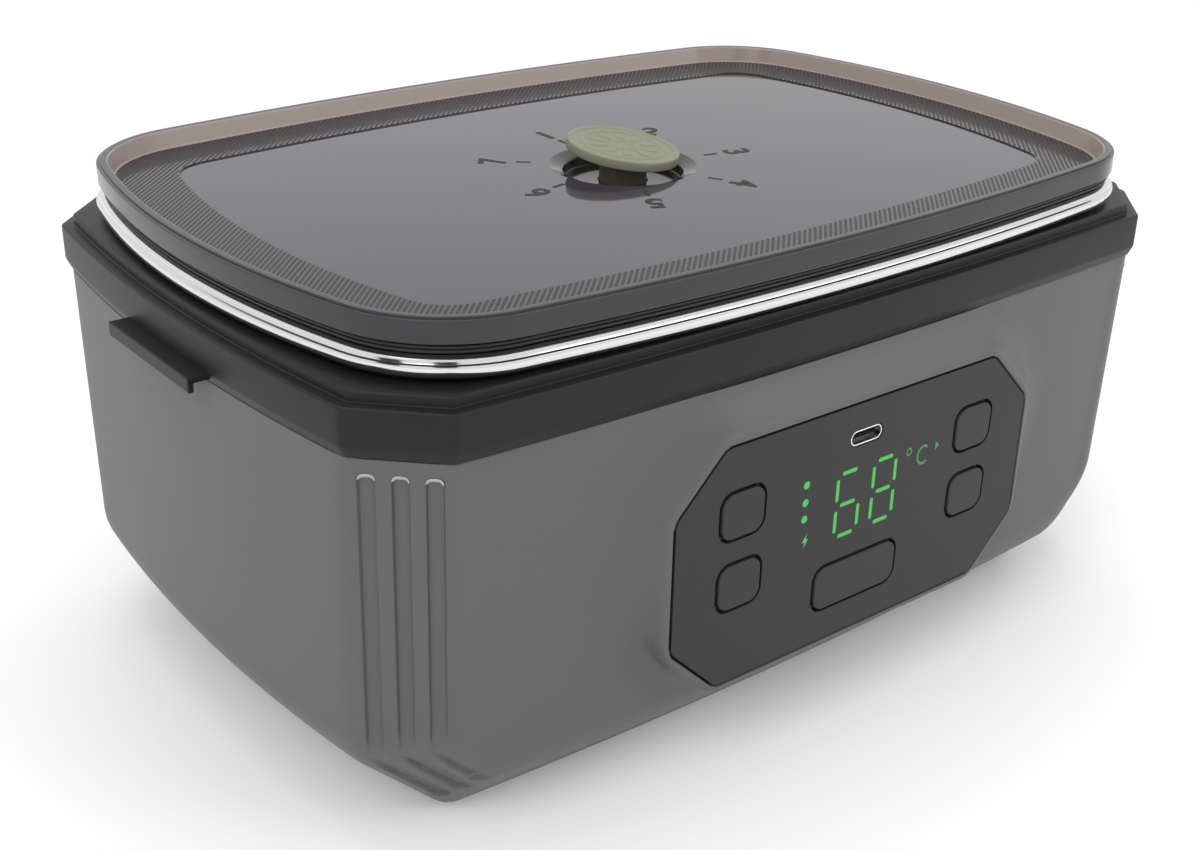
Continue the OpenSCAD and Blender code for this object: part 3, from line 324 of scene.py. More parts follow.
# The grey shell is one skin, found from the planes of the body and softened where they meet
shellLook = dict(
    edgeSoft=2.2, bevelSoft=3.4, facetSoft=2.2, wallSoft=0.5, lowestBulge=-0.12,
    # the three grooves at each cut corner
    grooveW=2.95, grooveDepth=0.8, groovePitch=5.9, grooveDrop=2.9, grooveRun=13.1, grooveStep=2.2,
    grooveSoft=0.38, grooveSquare=3,
    # the bezel, which flares back into the front face and tucks in below
    bezelSoft=0.8, bezelBlend=4.6, bezelRim=1.7, bezelFlare=4.5, bezelProud=4.0, bezelDepth=12,
    bezelRound=1.3, roundGrow=1.6, roundDepth=5, tuck=0.72, tuckFrom=6, tuckOver=24,
    frontOnly=-60, farAway=50.0,
    # a shallow valley round the bezel and the pocket for the fascia
    valley=0.5, valleyAt=6.8, valleyW=2.2, valleyRound=3.0,
    pocketGap=0.38, pocketCut=12.2, pocketDepth=2, pocketSoft=0.35,
)


def softMax(a, b, k):
    h = np.maximum(k - np.abs(a - b), 0) / k
    return np.maximum(a, b) + h * h * k / 4


def softMin(a, b, k):
    return -softMax(-a, -b, k)


def panelShape(x, z, grow, leg, soft):
    # below zero inside the panel's eight-sided outline, grown on all sides
    ax, az = np.abs(x), np.abs(z)
    w, h = size["panelHalfW"] + grow, size["panelHalfH"] + grow
    return softMax(np.maximum(ax - w, az - h), (ax + az - (w + h - leg)) / root2, soft)


def shellField(x, y, z):
    # below zero inside the shell's outer form
    s, k = size, shellLook
    hw = s["halfW"] - s["inset"]
    leg = cutLeg(s["inset"])
    top = s["halfD"] - s["inset"]
    hd = top - leanIn(z)
    low = top - s["lean"]
    ax, ay = np.abs(x), np.abs(y)
    run = (s["skew"] - 1) * leg + s["endZ"] - s["frontZ"]
    bulgeE = s["endBulge"] * (1 - (ay / (top - leg)) ** 2)
    bulgeF = s["frontBulge"] * np.maximum(1 - (ax / (hw - leg - run)) ** 2, k["lowestBulge"])
    end = ax - hw - bulgeE
    front = ay - hd - bulgeF
    cut = (ax + ay - (hw + hd - leg)) / root2
    endLow = (ax - bulgeE - hw - (z - s["endZ"])) / root2
    frontLow = (ay - bulgeF - low - (z - s["frontZ"])) / root2
    norm = math.sqrt(2 + s["skew"] ** 2)
    facetC = hw + s["skew"] * (low - leg) - s["endZ"]
    facet = (ax + s["skew"] * ay - z - facetC) / norm
    walls = softMax(softMax(end, front, k["wallSoft"]), cut, k["edgeSoft"])
    under = softMax(softMax(endLow, frontLow, k["facetSoft"]), facet, k["facetSoft"])
    body = softMax(walls, under, k["bevelSoft"])
    # bezel of the panel
    pz = z - s["panelZ"]
    rim = k["bezelRim"]
    legB = s["panelCut"] + rim * (2 - root2)
    slope = k["bezelFlare"] / k["bezelProud"]
    deep = np.clip(y - s["faceY"], 0, k["bezelDepth"])
    below = np.clip((k["tuckFrom"] - pz) / k["tuckOver"], 0, 1)
    reach = slope * deep * (1 - k["tuck"] * below)
    soft = k["bezelRound"] + k["roundGrow"] * np.clip(deep, 0, k["roundDepth"])
    side = (panelShape(x, pz, rim, legB, soft) - reach) / math.sqrt(1 + slope ** 2)
    bezel = softMax(s["faceY"] - y, side, k["bezelSoft"])
    bezel = np.where(y < k["frontOnly"], bezel, k["farAway"])
    around = panelShape(x, pz, rim, legB, k["valleyRound"]) - k["valleyAt"]
    valley = k["valley"] * np.exp(-(around / k["valleyW"]) ** 2) * (1 - below)
    body = body + np.where(y < k["frontOnly"], valley, 0)
    body = softMin(body, bezel, k["bezelBlend"])
    pocket = np.maximum(panelShape(x, pz, k["pocketGap"], k["pocketCut"], k["bezelRound"]),
                        y - (s["faceY"] + k["pocketDepth"]))
    body = softMax(body, -pocket, k["pocketSoft"])
    # grooves, down the cut and on over the facet
    mx, my = hw - leg / 2, hd - leg / 2
    across = ((ay - my) - (ax - mx)) / root2
    e1 = np.array([-1, 0, -1]) / root2
    v = np.array([-1, 1, s["skew"] - 1])
    e2 = v - v.dot(e1) * e1
    e2 /= np.linalg.norm(e2)
    half, power = k["grooveW"] / 2, k["grooveSquare"]
    topZ = s["shellTop"] - k["grooveDrop"] - half
    for i in (-1, 0, 1):
        share = 0.5 + i * k["groovePitch"] / (leg * root2)
        si = i * k["groovePitch"]
        over = np.maximum(z - topZ, 0)
        upright = (np.abs(across - si) ** power + over ** power) ** (1 / power) - half
        g1 = np.maximum(upright, -k["grooveDepth"] - cut)
        b = np.array([hw - leg * share, low - leg * (1 - share), s["endZ"] + (s["skew"] - 1) * leg * share])
        along = (ax - b[0]) * e1[0] + (z - b[2]) * e1[2]
        aside = (ax - b[0]) * e2[0] + (ay - b[1]) * e2[1] + (z - b[2]) * e2[2]
        length = root2 * (k["grooveRun"] - i * k["grooveStep"]) - half
        past = np.maximum(along - length, 0)
        slant = np.sqrt(aside ** 2 + past ** 2) - half
        g2 = np.maximum(slant, -k["grooveDepth"] - facet)
        body = softMax(body, -g1, k["grooveSoft"])
        body = softMax(body, -g2, k["grooveSoft"])
    return body


# Columns and rows of the skin, as runs of (from, to, step), fine at the bezel and the grooves.
# Rays fan out at each corner from fanX, fanY.
shellGrid = dict(
    fanX=74.6, fanY=39.8, reach=60.0, stride=0.5, halvings=16,
    front=((-74.6, -57, 2), (-57, -36, 0.35), (-36, 36, 3), (36, 57, 0.35), (57, 74.6, 2)),
    back=((-74.6, 74.6, 5),), end=((-39.8, 39.8, 5),), fan=((0, 26, 3), (26, 64, 0.4), (64, 90, 3)),
    rows=((size["baseZ"], 20, 0.6), (20, 37, 0.35), (37, 59, 1.5), (59, 77, 0.35),
          (77, size["shellTop"], 0.3)),
)

# the underside's flat rim round the cover's rebate, and the lap under the band
shellEdges = dict(openX=76.8, openY=46.2, openZ=5.1, rebateX=80.95, rebateY=50.35, rebateZ=3.5, openCut=4.7,
                  lapX=0.965, lapY=0.955, lapZ=60.0)


def spaced(runs):
    out = []
    for a, b, step in runs:
        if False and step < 1:
            step *= 2
        n = max(1, round((b - a) / step))
        out += [a + (b - a) * i / n for i in range(n)]
    return out + [runs[-1][1]]


def shellRays():
    g = shellGrid
    fx, fy = g["fanX"], g["fanY"]
    frontX, backX, endY = spaced(g["front"]), spaced(g["back"]), spaced(g["end"])
    fan = [math.radians(a) for a in spaced(g["fan"])]
    rays = [((x, -fy), (0, -1)) for x in frontX[:-1]]
    rays += [((fx, -fy), (math.sin(a), -math.cos(a))) for a in fan[:-1]]
    rays += [((fx, y), (1, 0)) for y in endY[:-1]]
    rays += [((fx, fy), (math.cos(a), math.sin(a))) for a in fan[:-1]]
    rays += [((-x, fy), (0, 1)) for x in backX[:-1]]
    rays += [((-fx, fy), (-math.sin(a), math.cos(a))) for a in fan[:-1]]
    rays += [((-fx, -y), (-1, 0)) for y in endY[:-1]]
    rays += [((-fx, -fy), (-math.cos(a), -math.sin(a))) for a in fan[:-1]]
    return rays


def shellRing(base, d, z):
    # the shell's outline at a height: each ray marches out to its first crossing, which is then halved in on
    g, n = shellGrid, len(base)
    # the rays move in with the leaning faces, so that columns run along the grooves
    share = np.minimum(np.abs(base[:, 1]) / g["fanY"], 1)
    o = base - np.stack([np.zeros(n), np.sign(base[:, 1]) * share * leanIn(z)], 1)

    def fieldAt(t):
        return shellField(o[:, 0] + d[:, 0] * t, o[:, 1] + d[:, 1] * t, np.full(n, z))

    lo, hi = np.zeros(n), np.full(n, g["reach"])
    found = np.zeros(n, bool)
    t = np.zeros(n)
    for i in range(int(g["reach"] / g["stride"])):
        further = t + g["stride"]
        hit = (~found) & (fieldAt(further) > 0)
        lo[hit], hi[hit] = t[hit], further[hit]
        found |= hit
        t = further
        if found.all():
            break
    for i in range(g["halvings"]):
        mid = (lo + hi) / 2
        outside = fieldAt(mid) > 0
        lo, hi = np.where(outside, lo, mid), np.where(outside, mid, hi)
    return [(o[i, 0] + d[i, 0] * lo[i], o[i, 1] + d[i, 1] * lo[i], z) for i in range(n)]


def buildShell():
    k, rays = shellEdges, shellRays()
    base = np.array([r[0] for r in rays])
    d = np.array([r[1] for r in rays])
    rings = [shellRing(base, d, z) for z in spaced(shellGrid["rows"])]

    def drawnIn(hx, hy, z):
        out = []
        for x, y, _ in rings[0]:
            f = max(abs(x) / hx, abs(y) / hy, (abs(x) + abs(y)) / (hx + hy - k["openCut"]))
            out.append((x / f, y / f, z))
        return out

    inner = [drawnIn(k["openX"], k["openY"], k["openZ"]), drawnIn(k["openX"], k["openY"], k["rebateZ"]),
             drawnIn(k["rebateX"], k["rebateY"], k["rebateZ"]),
             drawnIn(k["rebateX"], k["rebateY"], size["baseZ"])]
    top = [[(x * k["lapX"], y * k["lapY"], z) for x, y, z in rings[-1]],
           [(x * k["lapX"], y * k["lapY"], k["lapZ"]) for x, y, z in rings[-1]]]
    loftPiece("shellSkin", inner + rings + top, mats["shell"], "tub", ("outer_shell",), sharp=50)


lipLook = dict(start=15.0, stop=165.0, width=0.75, out=0.12, lap=0.12, sink=0.1, rise=0.1, innerSink=0.45,
               swell=0.6, steps=14)


def buildGrooveHighlightLips():
    # a raised crescent at the top of each groove, a little glossier than the shell, whose light grey is a
    # painted highlight
    s, g, k = size, shellLook, lipLook
    hw, leg, half = s["halfW"] - s["inset"], cutLeg(s["inset"]), g["grooveW"] / 2
    topZ = s["shellTop"] - g["grooveDrop"] - half
    power = g["grooveSquare"]
    verts, faces = [], []

    def place(sx, sy, across, z, out):
        hd = s["halfD"] - s["inset"] - leanIn(z)
        x = hw - leg / 2 - across / root2 + out / root2
        y = hd - leg / 2 + across / root2 + out / root2
        verts.append((sx * x, sy * y, z))

    def crescent(sx, sy, middle):
        base, steps = len(verts), k["steps"]
        for j in range(steps + 1):
            a = math.radians(k["start"] + (k["stop"] - k["start"]) * j / steps)
            swell = math.sin(math.pi * j / steps) ** k["swell"]
            c, d = math.cos(a), math.sin(a)
            square = (abs(c) ** power + d ** power) ** (1 / power)
            for r, out in ((half + k["lap"], -k["sink"]), (half - k["rise"] * swell, k["out"] * swell),
                           (half - k["width"] * swell, -k["innerSink"] * swell - k["sink"])):
                place(sx, sy, middle + r / square * c, topZ + r / square * d, out)
        for j in range(steps):
            for c in range(2):
                q = base + j * 3 + c
                faces.append((q, q + 1, q + 4, q + 3))

    for sx in (-1, 1):
        for sy in (-1, 1):
            for i in (-1, 0, 1):
                crescent(sx, sy, i * g["groovePitch"])
    meshPiece("grooveHighlightLips", verts, faces, mats["lip"], "tub", sharp=60)


buildShell()
buildGrooveHighlightLips()
print("shell made")


bandLook = dict(
    edge=0.55, shelf=2.4, skirtIn=6.0, skirtZ=83.6, lapIn=0.9, lapSoft=0.15, wallSoft=0.35, footSoft=0.3,
    deckIn=5.0, rebateR=20.75, rebateDrop=1.3, openingR=18.1, openingZ=77.0, sharp=30,
    catchIn=105.5, catchOut=3.7, catchHalf=17.5, catchH=3.0, catchT=1.2, catchEdge=0.3,
)


def buildBand():
    s, k = size, bandLook
    profile = rounded([
        (k["skirtIn"], k["skirtZ"]), (k["lapIn"], s["shellTop"]), (0.0, s["bandWall"]), (0.0, s["bandTop"]),
        (k["shelf"], s["bandTop"]), (k["shelf"], s["deckZ"]), (k["deckIn"], s["deckZ"]),
    ], {1: k["lapSoft"], 2: k["wallSoft"], 3: k["edge"], 4: k["footSoft"], 5: k["edge"]})
    outer = bodyRings(profile)
    rebateZ = s["deckZ"] - k["rebateDrop"]
    inner = ovalRings([(k["rebateR"], s["deckZ"]), (k["rebateR"], rebateZ), (k["openingR"], rebateZ),
                       (k["openingR"], k["openingZ"])])
    n, m = len(outer[0]), len(inner[0])
    base = len(outer) * n
    faces = ringFaces(len(outer), n) + ringFaces(len(inner), m, base)
    bm = bmesh.new()
    vs = [bm.verts.new([c * unit for c in v]) for ring in outer + inner for v in ring]
    for f in faces:
        bm.faces.new([vs[i] for i in f])
    bm.edges.ensure_lookup_table()
    # the deck between the outer loop and the oval one
    edges = []
    for loop in (vs[base - n:base], vs[base:base + m]):
        for i, v in enumerate(loop):
            after = loop[(i + 1) % len(loop)]
            edges.append(bm.edges.get((v, after)) or bm.edges.new((v, after)))
    bmesh.ops.triangle_fill(bm, use_beauty=True, use_dissolve=False, edges=edges)
    bmesh.ops.recalc_face_normals(bm, faces=bm.faces)
    mesh = bpy.data.meshes.new("bandSkin")
    bm.to_mesh(mesh)
    bm.free()
    shownPiece("bandSkin", mesh, mats["band"], "tub", ("top_collar",), k["sharp"])
    buildCatch("catchLeft", -1)
    buildCatch("catchRight", 1)


def buildCatch(name, side):
    # the ledge on one end of the band, with a lip turned down
    k, zt = bandLook, size["bandWall"]
    xi, xo = k["catchIn"], size["halfW"] + size["endBulge"] + k["catchOut"]
    section = [(xi, zt), (xo, zt), (xo, zt - k["catchH"]), (xo - k["catchT"], zt - k["catchH"]),
               (xo - k["catchT"], zt - k["catchT"]), (xi, zt - k["catchT"])]
    verts = [(side * x, y, z) for y in (-k["catchHalf"], k["catchHalf"]) for x, z in section]
    n = len(section)
    faces = [tuple(range(n)), tuple(range(2 * n - 1, n - 1, -1))]
    faces += [(i, (i + 1) % n, n + (i + 1) % n, n + i) for i in range(n)]
    softenEdges(meshPiece(name, verts, faces, mats["band"], "tub"), k["catchEdge"])


buildBand()
print("band made")


panLook = dict(
    beadC=25.65, beadR=2.15, beadTop=100.8, wallR=15.95, footR=12.95, sheet=0.6, floor=33.4, middle=0.5,
    flangeUnder=1.4, flangeTop=1.2, footRound=3.0, underRound=1.2, mouthRound=1.6,
    lineDepth=0.42, lineAt=35.0, lineW=8, satinDrop=5.5, beadSteps=32, roundSteps=8,
)


def buildPan():
    k, top = panLook, panLook["beadTop"]
    under, inFloor = top - k["sheet"], k["floor"] + k["sheet"]
    c, zc = k["beadC"], top - k["beadR"]
    bead = []
    start, stop = 180 - math.degrees(math.asin((k["beadR"] - k["sheet"]) / k["beadR"])), 360 + 90
    for i in range(k["beadSteps"] + 1):
        a = start + (stop - start) * i / k["beadSteps"]
        # a fine line rolled in near the top of the bead
        r = k["beadR"] - k["lineDepth"] * math.exp(-((a - 360 - k["lineAt"]) / k["lineW"]) ** 2)
        bead.append((c + r * math.cos(math.radians(a)), zc + r * math.sin(math.radians(a))))
    outside = rounded([(k["middle"], k["floor"]), (k["footR"], k["floor"]), (k["wallR"], under),
                       (c - k["flangeUnder"], under)],
                      {1: k["footRound"], 2: k["underRound"]}, k["roundSteps"])
    inside = rounded([(c - k["flangeTop"], top), (k["wallR"] - k["sheet"], top),
                      (k["footR"] - k["sheet"], inFloor), (k["middle"], inFloor)],
                     {1: k["mouthRound"], 2: k["footRound"]}, k["roundSteps"])
    pan = loftPiece("panSkin", ovalRings(outside[:-1] + bead + inside), mats["steel"], "pan", ("food_pan",),
                    caps=(True, True), sharp=40)
    # satin walls and floor below the polished rim
    pan.data.materials.append(mats["steelIn"])
    for face in pan.data.polygons:
        face.material_index = int(face.center.z < (top - k["satinDrop"]) * unit)


wellLook = dict(middle=0.5, footR=14.95, wallR=17.95, flangeR=20.55, floorZ=32.1, sheet=1.2,
                footRound=4.2, underRound=0.6, mouthRound=1.0, innerRound=3.0)

seatLook = dict(footR=18.15, topR=18.2, outR=20.3, low=95.85, high=99.65, footSoft=0.3, topSoft=0.5)


def buildWell():
    k, z0, top = wellLook, wellLook["floorZ"], size["deckZ"]
    under, inFloor = top - k["sheet"], z0 + k["sheet"]
    profile = rounded([
        (k["middle"], z0), (k["footR"], z0), (k["wallR"], under), (k["flangeR"], under), (k["flangeR"], top),
        (k["wallR"] - k["sheet"], top), (k["footR"] - k["sheet"], inFloor), (k["middle"], inFloor),
    ], {1: k["footRound"], 2: k["underRound"], 5: k["mouthRound"], 6: k["innerRound"]})
    loftPiece("wellSkin", ovalRings(profile), mats["well"], "tub", ("heat_well",),
              caps=(True, True), sharp=40)
    k = seatLook
    ring = rounded([(k["footR"], k["low"]), (k["outR"], k["low"]), (k["outR"], k["high"]),
                    (k["topR"], k["high"]), (k["footR"], k["low"])],
                   {1: k["footSoft"], 2: k["topSoft"], 3: k["topSoft"]})
    loftPiece("seatRing", ovalRings(ring), mats["silicone"], "pan", ("seat_ring",), sharp=40)


buildPan()
buildWell()
print("pan made")


lidLook = dict(
    seatR=22.2, edgeSoft=0.3, stepIn=0.75, stepDrop=0.4, stepLean=0.06, stepSoft=0.12,
    rimIn=24.6, rimSoft=0.5, wallFoot=23.8, footSoft=0.35, roundSteps=6, warmFrom=0.3,
    windowR=10.1, windowDrop=0.3, borderLap=0.35,
    ribPitch=1.02, ribW=0.6, ribH=0.06, ribCrown=0.36, ribOut=0.75, ribIn=0.35, ribLeast=0.5, ribReach=160,
    recessR=13.4, recessZ=100.0, lip=3.2, lipDrop=1.4, hole=5.6, holeDrop=2, dishSoft=0.5, holeSoft=0.15,
    plateZ=101.7, ringIn=13.22, ringOut=14.82, ringZ=96.7, bossR=15.4, bossZ=98.0, bossSoft=0.4,
)


def holedPlate(name, r, holeR, z, facing, material, steps=96):
    # a flat plate from the lid's outline at an offset in to a round hole
    turns = [2 * math.pi * i / steps for i in range(steps)]
    hole = [Vector((holeR * math.cos(a), holeR * math.sin(a))) for a in turns]
    bm = bmesh.new()
    edges = []
    for loop in (ovalOutline(r), hole):
        vs = [bm.verts.new((p.x * unit, p.y * unit, z * unit)) for p in loop]
        edges += [bm.edges.new((vs[i], vs[(i + 1) % len(vs)])) for i in range(len(vs))]
    bmesh.ops.triangle_fill(bm, use_beauty=True, use_dissolve=False, edges=edges, normal=(0, 0, facing))
    mesh = bpy.data.meshes.new(name)
    bm.to_mesh(mesh)
    bm.free()
    return shownPiece(name, mesh, material, "lid")


def buildLid():
    s, k = size, lidLook
    stepR, stepZ = s["lidR"] - k["stepIn"], s["lidTop"] - k["stepDrop"]
    rim = rounded([
        (k["seatR"], s["lidEdge"]), (s["lidR"], s["lidEdge"]), (s["lidR"], stepZ), (stepR, stepZ),
        (stepR - k["stepLean"], s["lidTop"]), (k["rimIn"], s["lidTop"]), (k["wallFoot"], s["trayZ"]),
        (k["windowR"], s["trayZ"]),
    ], {1: k["edgeSoft"], 2: k["edgeSoft"], 4: k["stepSoft"], 5: k["rimSoft"], 6: k["footSoft"]},
        k["roundSteps"])
    # the rim turns warm where it starts down to the tray
    top = next(i for i, p in enumerate(rim) if p[0] < k["rimIn"] + k["warmFrom"] and p[1] > s["lidEdge"] + 1)
    loftPiece("lidRim", ovalRings(rim[:top + 1]), mats["lidRim"], "lid", ("lid",), sharp=50)
    loftPiece("lidRimInner", ovalRings(rim[top:-1]), mats["lidInner"], "lid", sharp=50)
    windowZ = s["trayZ"] - k["windowDrop"]
    border = [(k["wallFoot"] - k["borderLap"], s["trayZ"]), (k["windowR"], s["trayZ"]),
              (k["windowR"], windowZ)]
    loftPiece("lidBorder", ovalRings(border), mats["border"], "lid", sharp=30)
    # window with the recess's opening
    lipR = k["recessR"] + k["lip"]
    holedPlate("lidWindow", k["windowR"], lipR, windowZ, 1, mats["window"])
    dish = rounded([(lipR, windowZ), (k["recessR"], s["trayZ"] - k["lipDrop"]), (k["recessR"], k["recessZ"]),
                    (k["hole"], k["recessZ"]), (k["hole"], k["recessZ"] - k["holeDrop"])],
                   {1: k["dishSoft"], 2: k["dishSoft"], 3: k["holeSoft"]})
    # the recess's darker olive tint is painted shade and a painted reflection of the cap
    lathePiece("lidRecess", dish, mats["recess"], "lid", sharp=60)
    # underside: plate, boss and locating ring
    plateZ = k["plateZ"]
    holedPlate("lidPlate", k["ringIn"], k["bossR"], plateZ, -1, mats["border"])
    under = rounded([(k["ringIn"], plateZ), (k["ringIn"], k["ringZ"]), (k["ringOut"], k["ringZ"]),
                     (k["ringOut"], plateZ), (k["seatR"], plateZ), (k["seatR"], s["lidEdge"])],
                    {1: k["edgeSoft"], 2: k["edgeSoft"], 4: k["edgeSoft"]})
    loftPiece("lidUnder", ovalRings(under), mats["border"], "lid", sharp=40)
    boss = rounded([(k["bossR"], plateZ), (k["bossR"], k["bossZ"]), (k["hole"], k["bossZ"])],
                   {1: k["bossSoft"]})
    lathePiece("lidBoss", boss, mats["border"], "lid")


def crossings(loop, c):
    # where the line y = x - c meets a convex loop, as distances along (1, 1)
    out = []
    for a, b in zip(loop, loop[1:] + loop[:1]):
        fa, fb = a.x - a.y - c, b.x - b.y - c
        if (fa < 0) != (fb < 0):
            p = a.lerp(b, fa / (fa - fb))
            out.append((p.x + p.y) / root2)
    return sorted(out)


def buildRibs():
    # slanting bars across the border, all at 45 degrees
    k, z = lidLook, size["trayZ"]
    outer, inner = ovalOutline(k["wallFoot"] - k["ribOut"]), ovalOutline(k["windowR"] + k["ribIn"])
    along, aside = Vector((1, 1)) / root2, Vector((1, -1)) / root2
    section = ((-0.5, 0), (-k["ribCrown"], 1), (k["ribCrown"], 1), (0.5, 0))
    verts, faces = [], []
    count = int(k["ribReach"] / k["ribPitch"])
    for i in range(-count, count + 1):
        off = i * k["ribPitch"]
        c = off * root2
        out, hole = crossings(outer, c), crossings(inner, c)
        if len(out) < 2:
            continue
        spans = [(out[0], hole[0]), (hole[-1], out[-1])] if len(hole) >= 2 else [(out[0], out[-1])]
        for t0, t1 in spans:
            if t1 - t0 < k["ribLeast"]:
                continue
            base = len(verts)
            for t in (t0, t1):
                for side, up in section:
                    q = along * t + aside * (off + side * k["ribW"])
                    verts.append((q.x, q.y, z + up * k["ribH"]))
            faces += [(base + a, base + a + 1, base + a + 5, base + a + 4) for a in range(3)]
            faces += [(base + 3, base + 2, base + 1, base), (base + 4, base + 5, base + 6, base + 7)]
    meshPiece("lidRibs", verts, faces, mats["rib"], "lid", sharp=10)


gasketLook = dict(inR=22.6, outR=26.0, foot=0.4, lips=(101.75, 102.5), lipOut=0.4, lipH=0.22, gap=0.05,
                  inSoft=0.2, outSoft=0.1, lipSoft=0.12)


def buildGasket():
    # a soft ring between the pan's bead and the lid, with two fine lips round its outside
    k = gasketLook
    low, high = panLook["beadTop"] + k["gap"], size["lidEdge"] - k["gap"]
    ring = [(k["inR"], low + k["foot"]), (k["inR"] + k["foot"], low), (k["outR"] - k["foot"], low),
            (k["outR"], low + k["foot"])]
    for z in k["lips"]:
        ring += [(k["outR"], z - k["lipH"]), (k["outR"] + k["lipOut"], z), (k["outR"], z + k["lipH"])]
    ring += [(k["outR"], high), (k["inR"], high), (k["inR"], low + k["foot"])]
    ring = rounded(ring, {1: k["inSoft"], 2: k["inSoft"], 3: k["outSoft"], 5: k["lipSoft"], 8: k["lipSoft"]})
    loftPiece("lidGasket", ovalRings(ring), mats["seal"], "lid", ("lid_gasket",), sharp=40)


dialLook = dict(marks=7, tickIn=20.6, tickOut=24.0, tickW=0.95, numberR=28.9, numberSize=8.6,
                numberBold=0.26, lift=0.04)


def numberMesh(name, text):
    curve = bpy.data.curves.new(name, "FONT")
    curve.body = text
    curve.align_x, curve.align_y = "CENTER", "CENTER"
    curve.size = dialLook["numberSize"] * unit
    curve.offset = dialLook["numberBold"] * unit
    holder = addObject("dialHolder", curve)
    bpy.context.view_layer.update()
    mesh = bpy.data.meshes.new_from_object(holder.evaluated_get(bpy.context.evaluated_depsgraph_get()))
    bpy.data.objects.remove(holder)
    mesh.name = name
    return mesh


def buildDial():
    k = dialLook
    z = size["trayZ"] - lidLook["windowDrop"] + k["lift"]
    verts, faces = [], []
    for i in range(k["marks"]):
        a = math.radians(90 + i * 360 / k["marks"])
        u, v = Vector((math.cos(a), math.sin(a))), Vector((-math.sin(a), math.cos(a)))
        base = len(verts)
        for r in (k["tickIn"], k["tickOut"]):
            for w in (-0.5, 0.5):
                q = u * r + v * w * k["tickW"]
                verts.append((q.x, q.y, z))
        faces.append((base, base + 2, base + 3, base + 1))
    meshPiece("dialTicks", verts, faces, mats["ink"], "lid")
    for i in range(k["marks"]):
        a = math.radians(90 - i * 360 / k["marks"])
        name, r = "dialNumber%d" % (i + 1), k["numberR"] * unit
        mesh = numberMesh(name, str(i + 1))
        spot = Matrix.Translation((r * math.cos(a), r * math.sin(a), z * unit))
        mesh.transform(spot @ Matrix.Rotation(a - math.pi / 2, 4, "Z"))
        shownPiece(name, mesh, mats["ink"], "lid")


buildLid()
buildRibs()
buildGasket()
buildDial()
print("lid made")


capLook = dict(
    lift=4.4, tilt=8.0, turn=-48.0, steps=128, stemEdge=0.12,
    # half the cap's section, from the middle of its top out and back under: radius and height
    section=((0.01, -0.25), (2.2, -0.25), (2.5, -0.05), (3.1, -0.05), (3.4, -0.25), (8.6, -0.25),
             (8.9, -0.02), (9.6, -0.02), (9.9, -0.25), (11.3, -0.25), (11.55, 0.0), (12.4, 0.0),
             (12.62, -0.06), (12.75, -0.2), (12.8, -0.45), (12.8, -1.85), (12.7, -2.08), (12.5, -2.2),
             (5.35, -2.2), (5.35, -3.8), (3.05, -3.8), (3.05, -1.5), (0.01, -1.5)),
    # raised petals: count, middle radius, half length and width, and (height, share of size) of each level
    petals=10, petalR=6.0, petalL=2.0, petalW=1.1, petalSteps=16,
    petalLevels=((-0.26, 1.0), (-0.12, 0.92), (-0.06, 0.7)),
)


def buildCap():
    k = capLook
    place = (Matrix.Translation((0, 0, size["trayZ"] + k["lift"]))
             @ Matrix.Rotation(math.radians(k["turn"]), 4, "Z")
             @ Matrix.Rotation(math.radians(k["tilt"]), 4, "Y"))
    lathePiece("ventCap", k["section"], mats["cap"], "cap", ("vent_cap",), steps=k["steps"], place=place,
               sharp=60)
    # a plain ring of petals between the two rings
    verts, faces = [], []
    n = k["petalSteps"]
    for i in range(k["petals"]):
        a = 2 * math.pi * i / k["petals"]
        base = len(verts)
        for level, shrink in k["petalLevels"]:
            for j in range(n):
                b = 2 * math.pi * j / n
                r, w = k["petalR"] + k["petalL"] * math.cos(b) * shrink, k["petalW"] * math.sin(b) * shrink
                p = Vector((r * math.cos(a) - w * math.sin(a), r * math.sin(a) + w * math.cos(a), level))
                verts.append(tuple(place @ p))
        faces += ringFaces(len(k["petalLevels"]), n, base)
        faces.append(tuple(base + (len(k["petalLevels"]) - 1) * n + j for j in range(n)))
    meshPiece("capPetals", verts, faces, mats["cap"], "cap", sharp=50)
    # the stem's darker green is painted shade from the cap above
    cadCopy("vent_valve", "ventStem", mats["stem"], k["stemEdge"], 2)


buildCap()
print("valve made")


# keyTrim: how far each opening is drawn in sideways and upright; keyGap: the gap round a button
panelLook = dict(
    edge=0.35, cornerR=1.1, cornerSteps=4, keyEdge=0.5, keyTrim=(0.4, 0.35), keyGap=0.28, keyFace=1,
    keyAround=1, onRim=0.1, upright=0.05, sharp=35, backY=-76.9, backHalfW=47, backHalfH=20,
    portEdge=0.06, tongueEdge=0.05,
)

keyNodes = (("key_left_upper", "buttonLeftUpper"), ("key_left_lower", "buttonLeftLower"),
            ("key_right_upper", "buttonRightUpper"), ("key_right_lower", "buttonRightLower"),
            ("power_key", "buttonPower"))


def keyPlace(node):
    # the middle and half size of a button's face, which is the part in front of its flange
    foremost = size["faceY"] + panelLook["keyFace"]
    front = [v.co / unit for v in frame["nodes"][node].data.vertices if v.co.y / unit < foremost]
    xs, zs = [v.x for v in front], [v.z for v in front]
    x0, x1, z0, z1 = min(xs), max(xs), min(zs), max(zs)
    return (x0 + x1) / 2, (z0 + z1) / 2, (x1 - x0) / 2, (z1 - z0) / 2


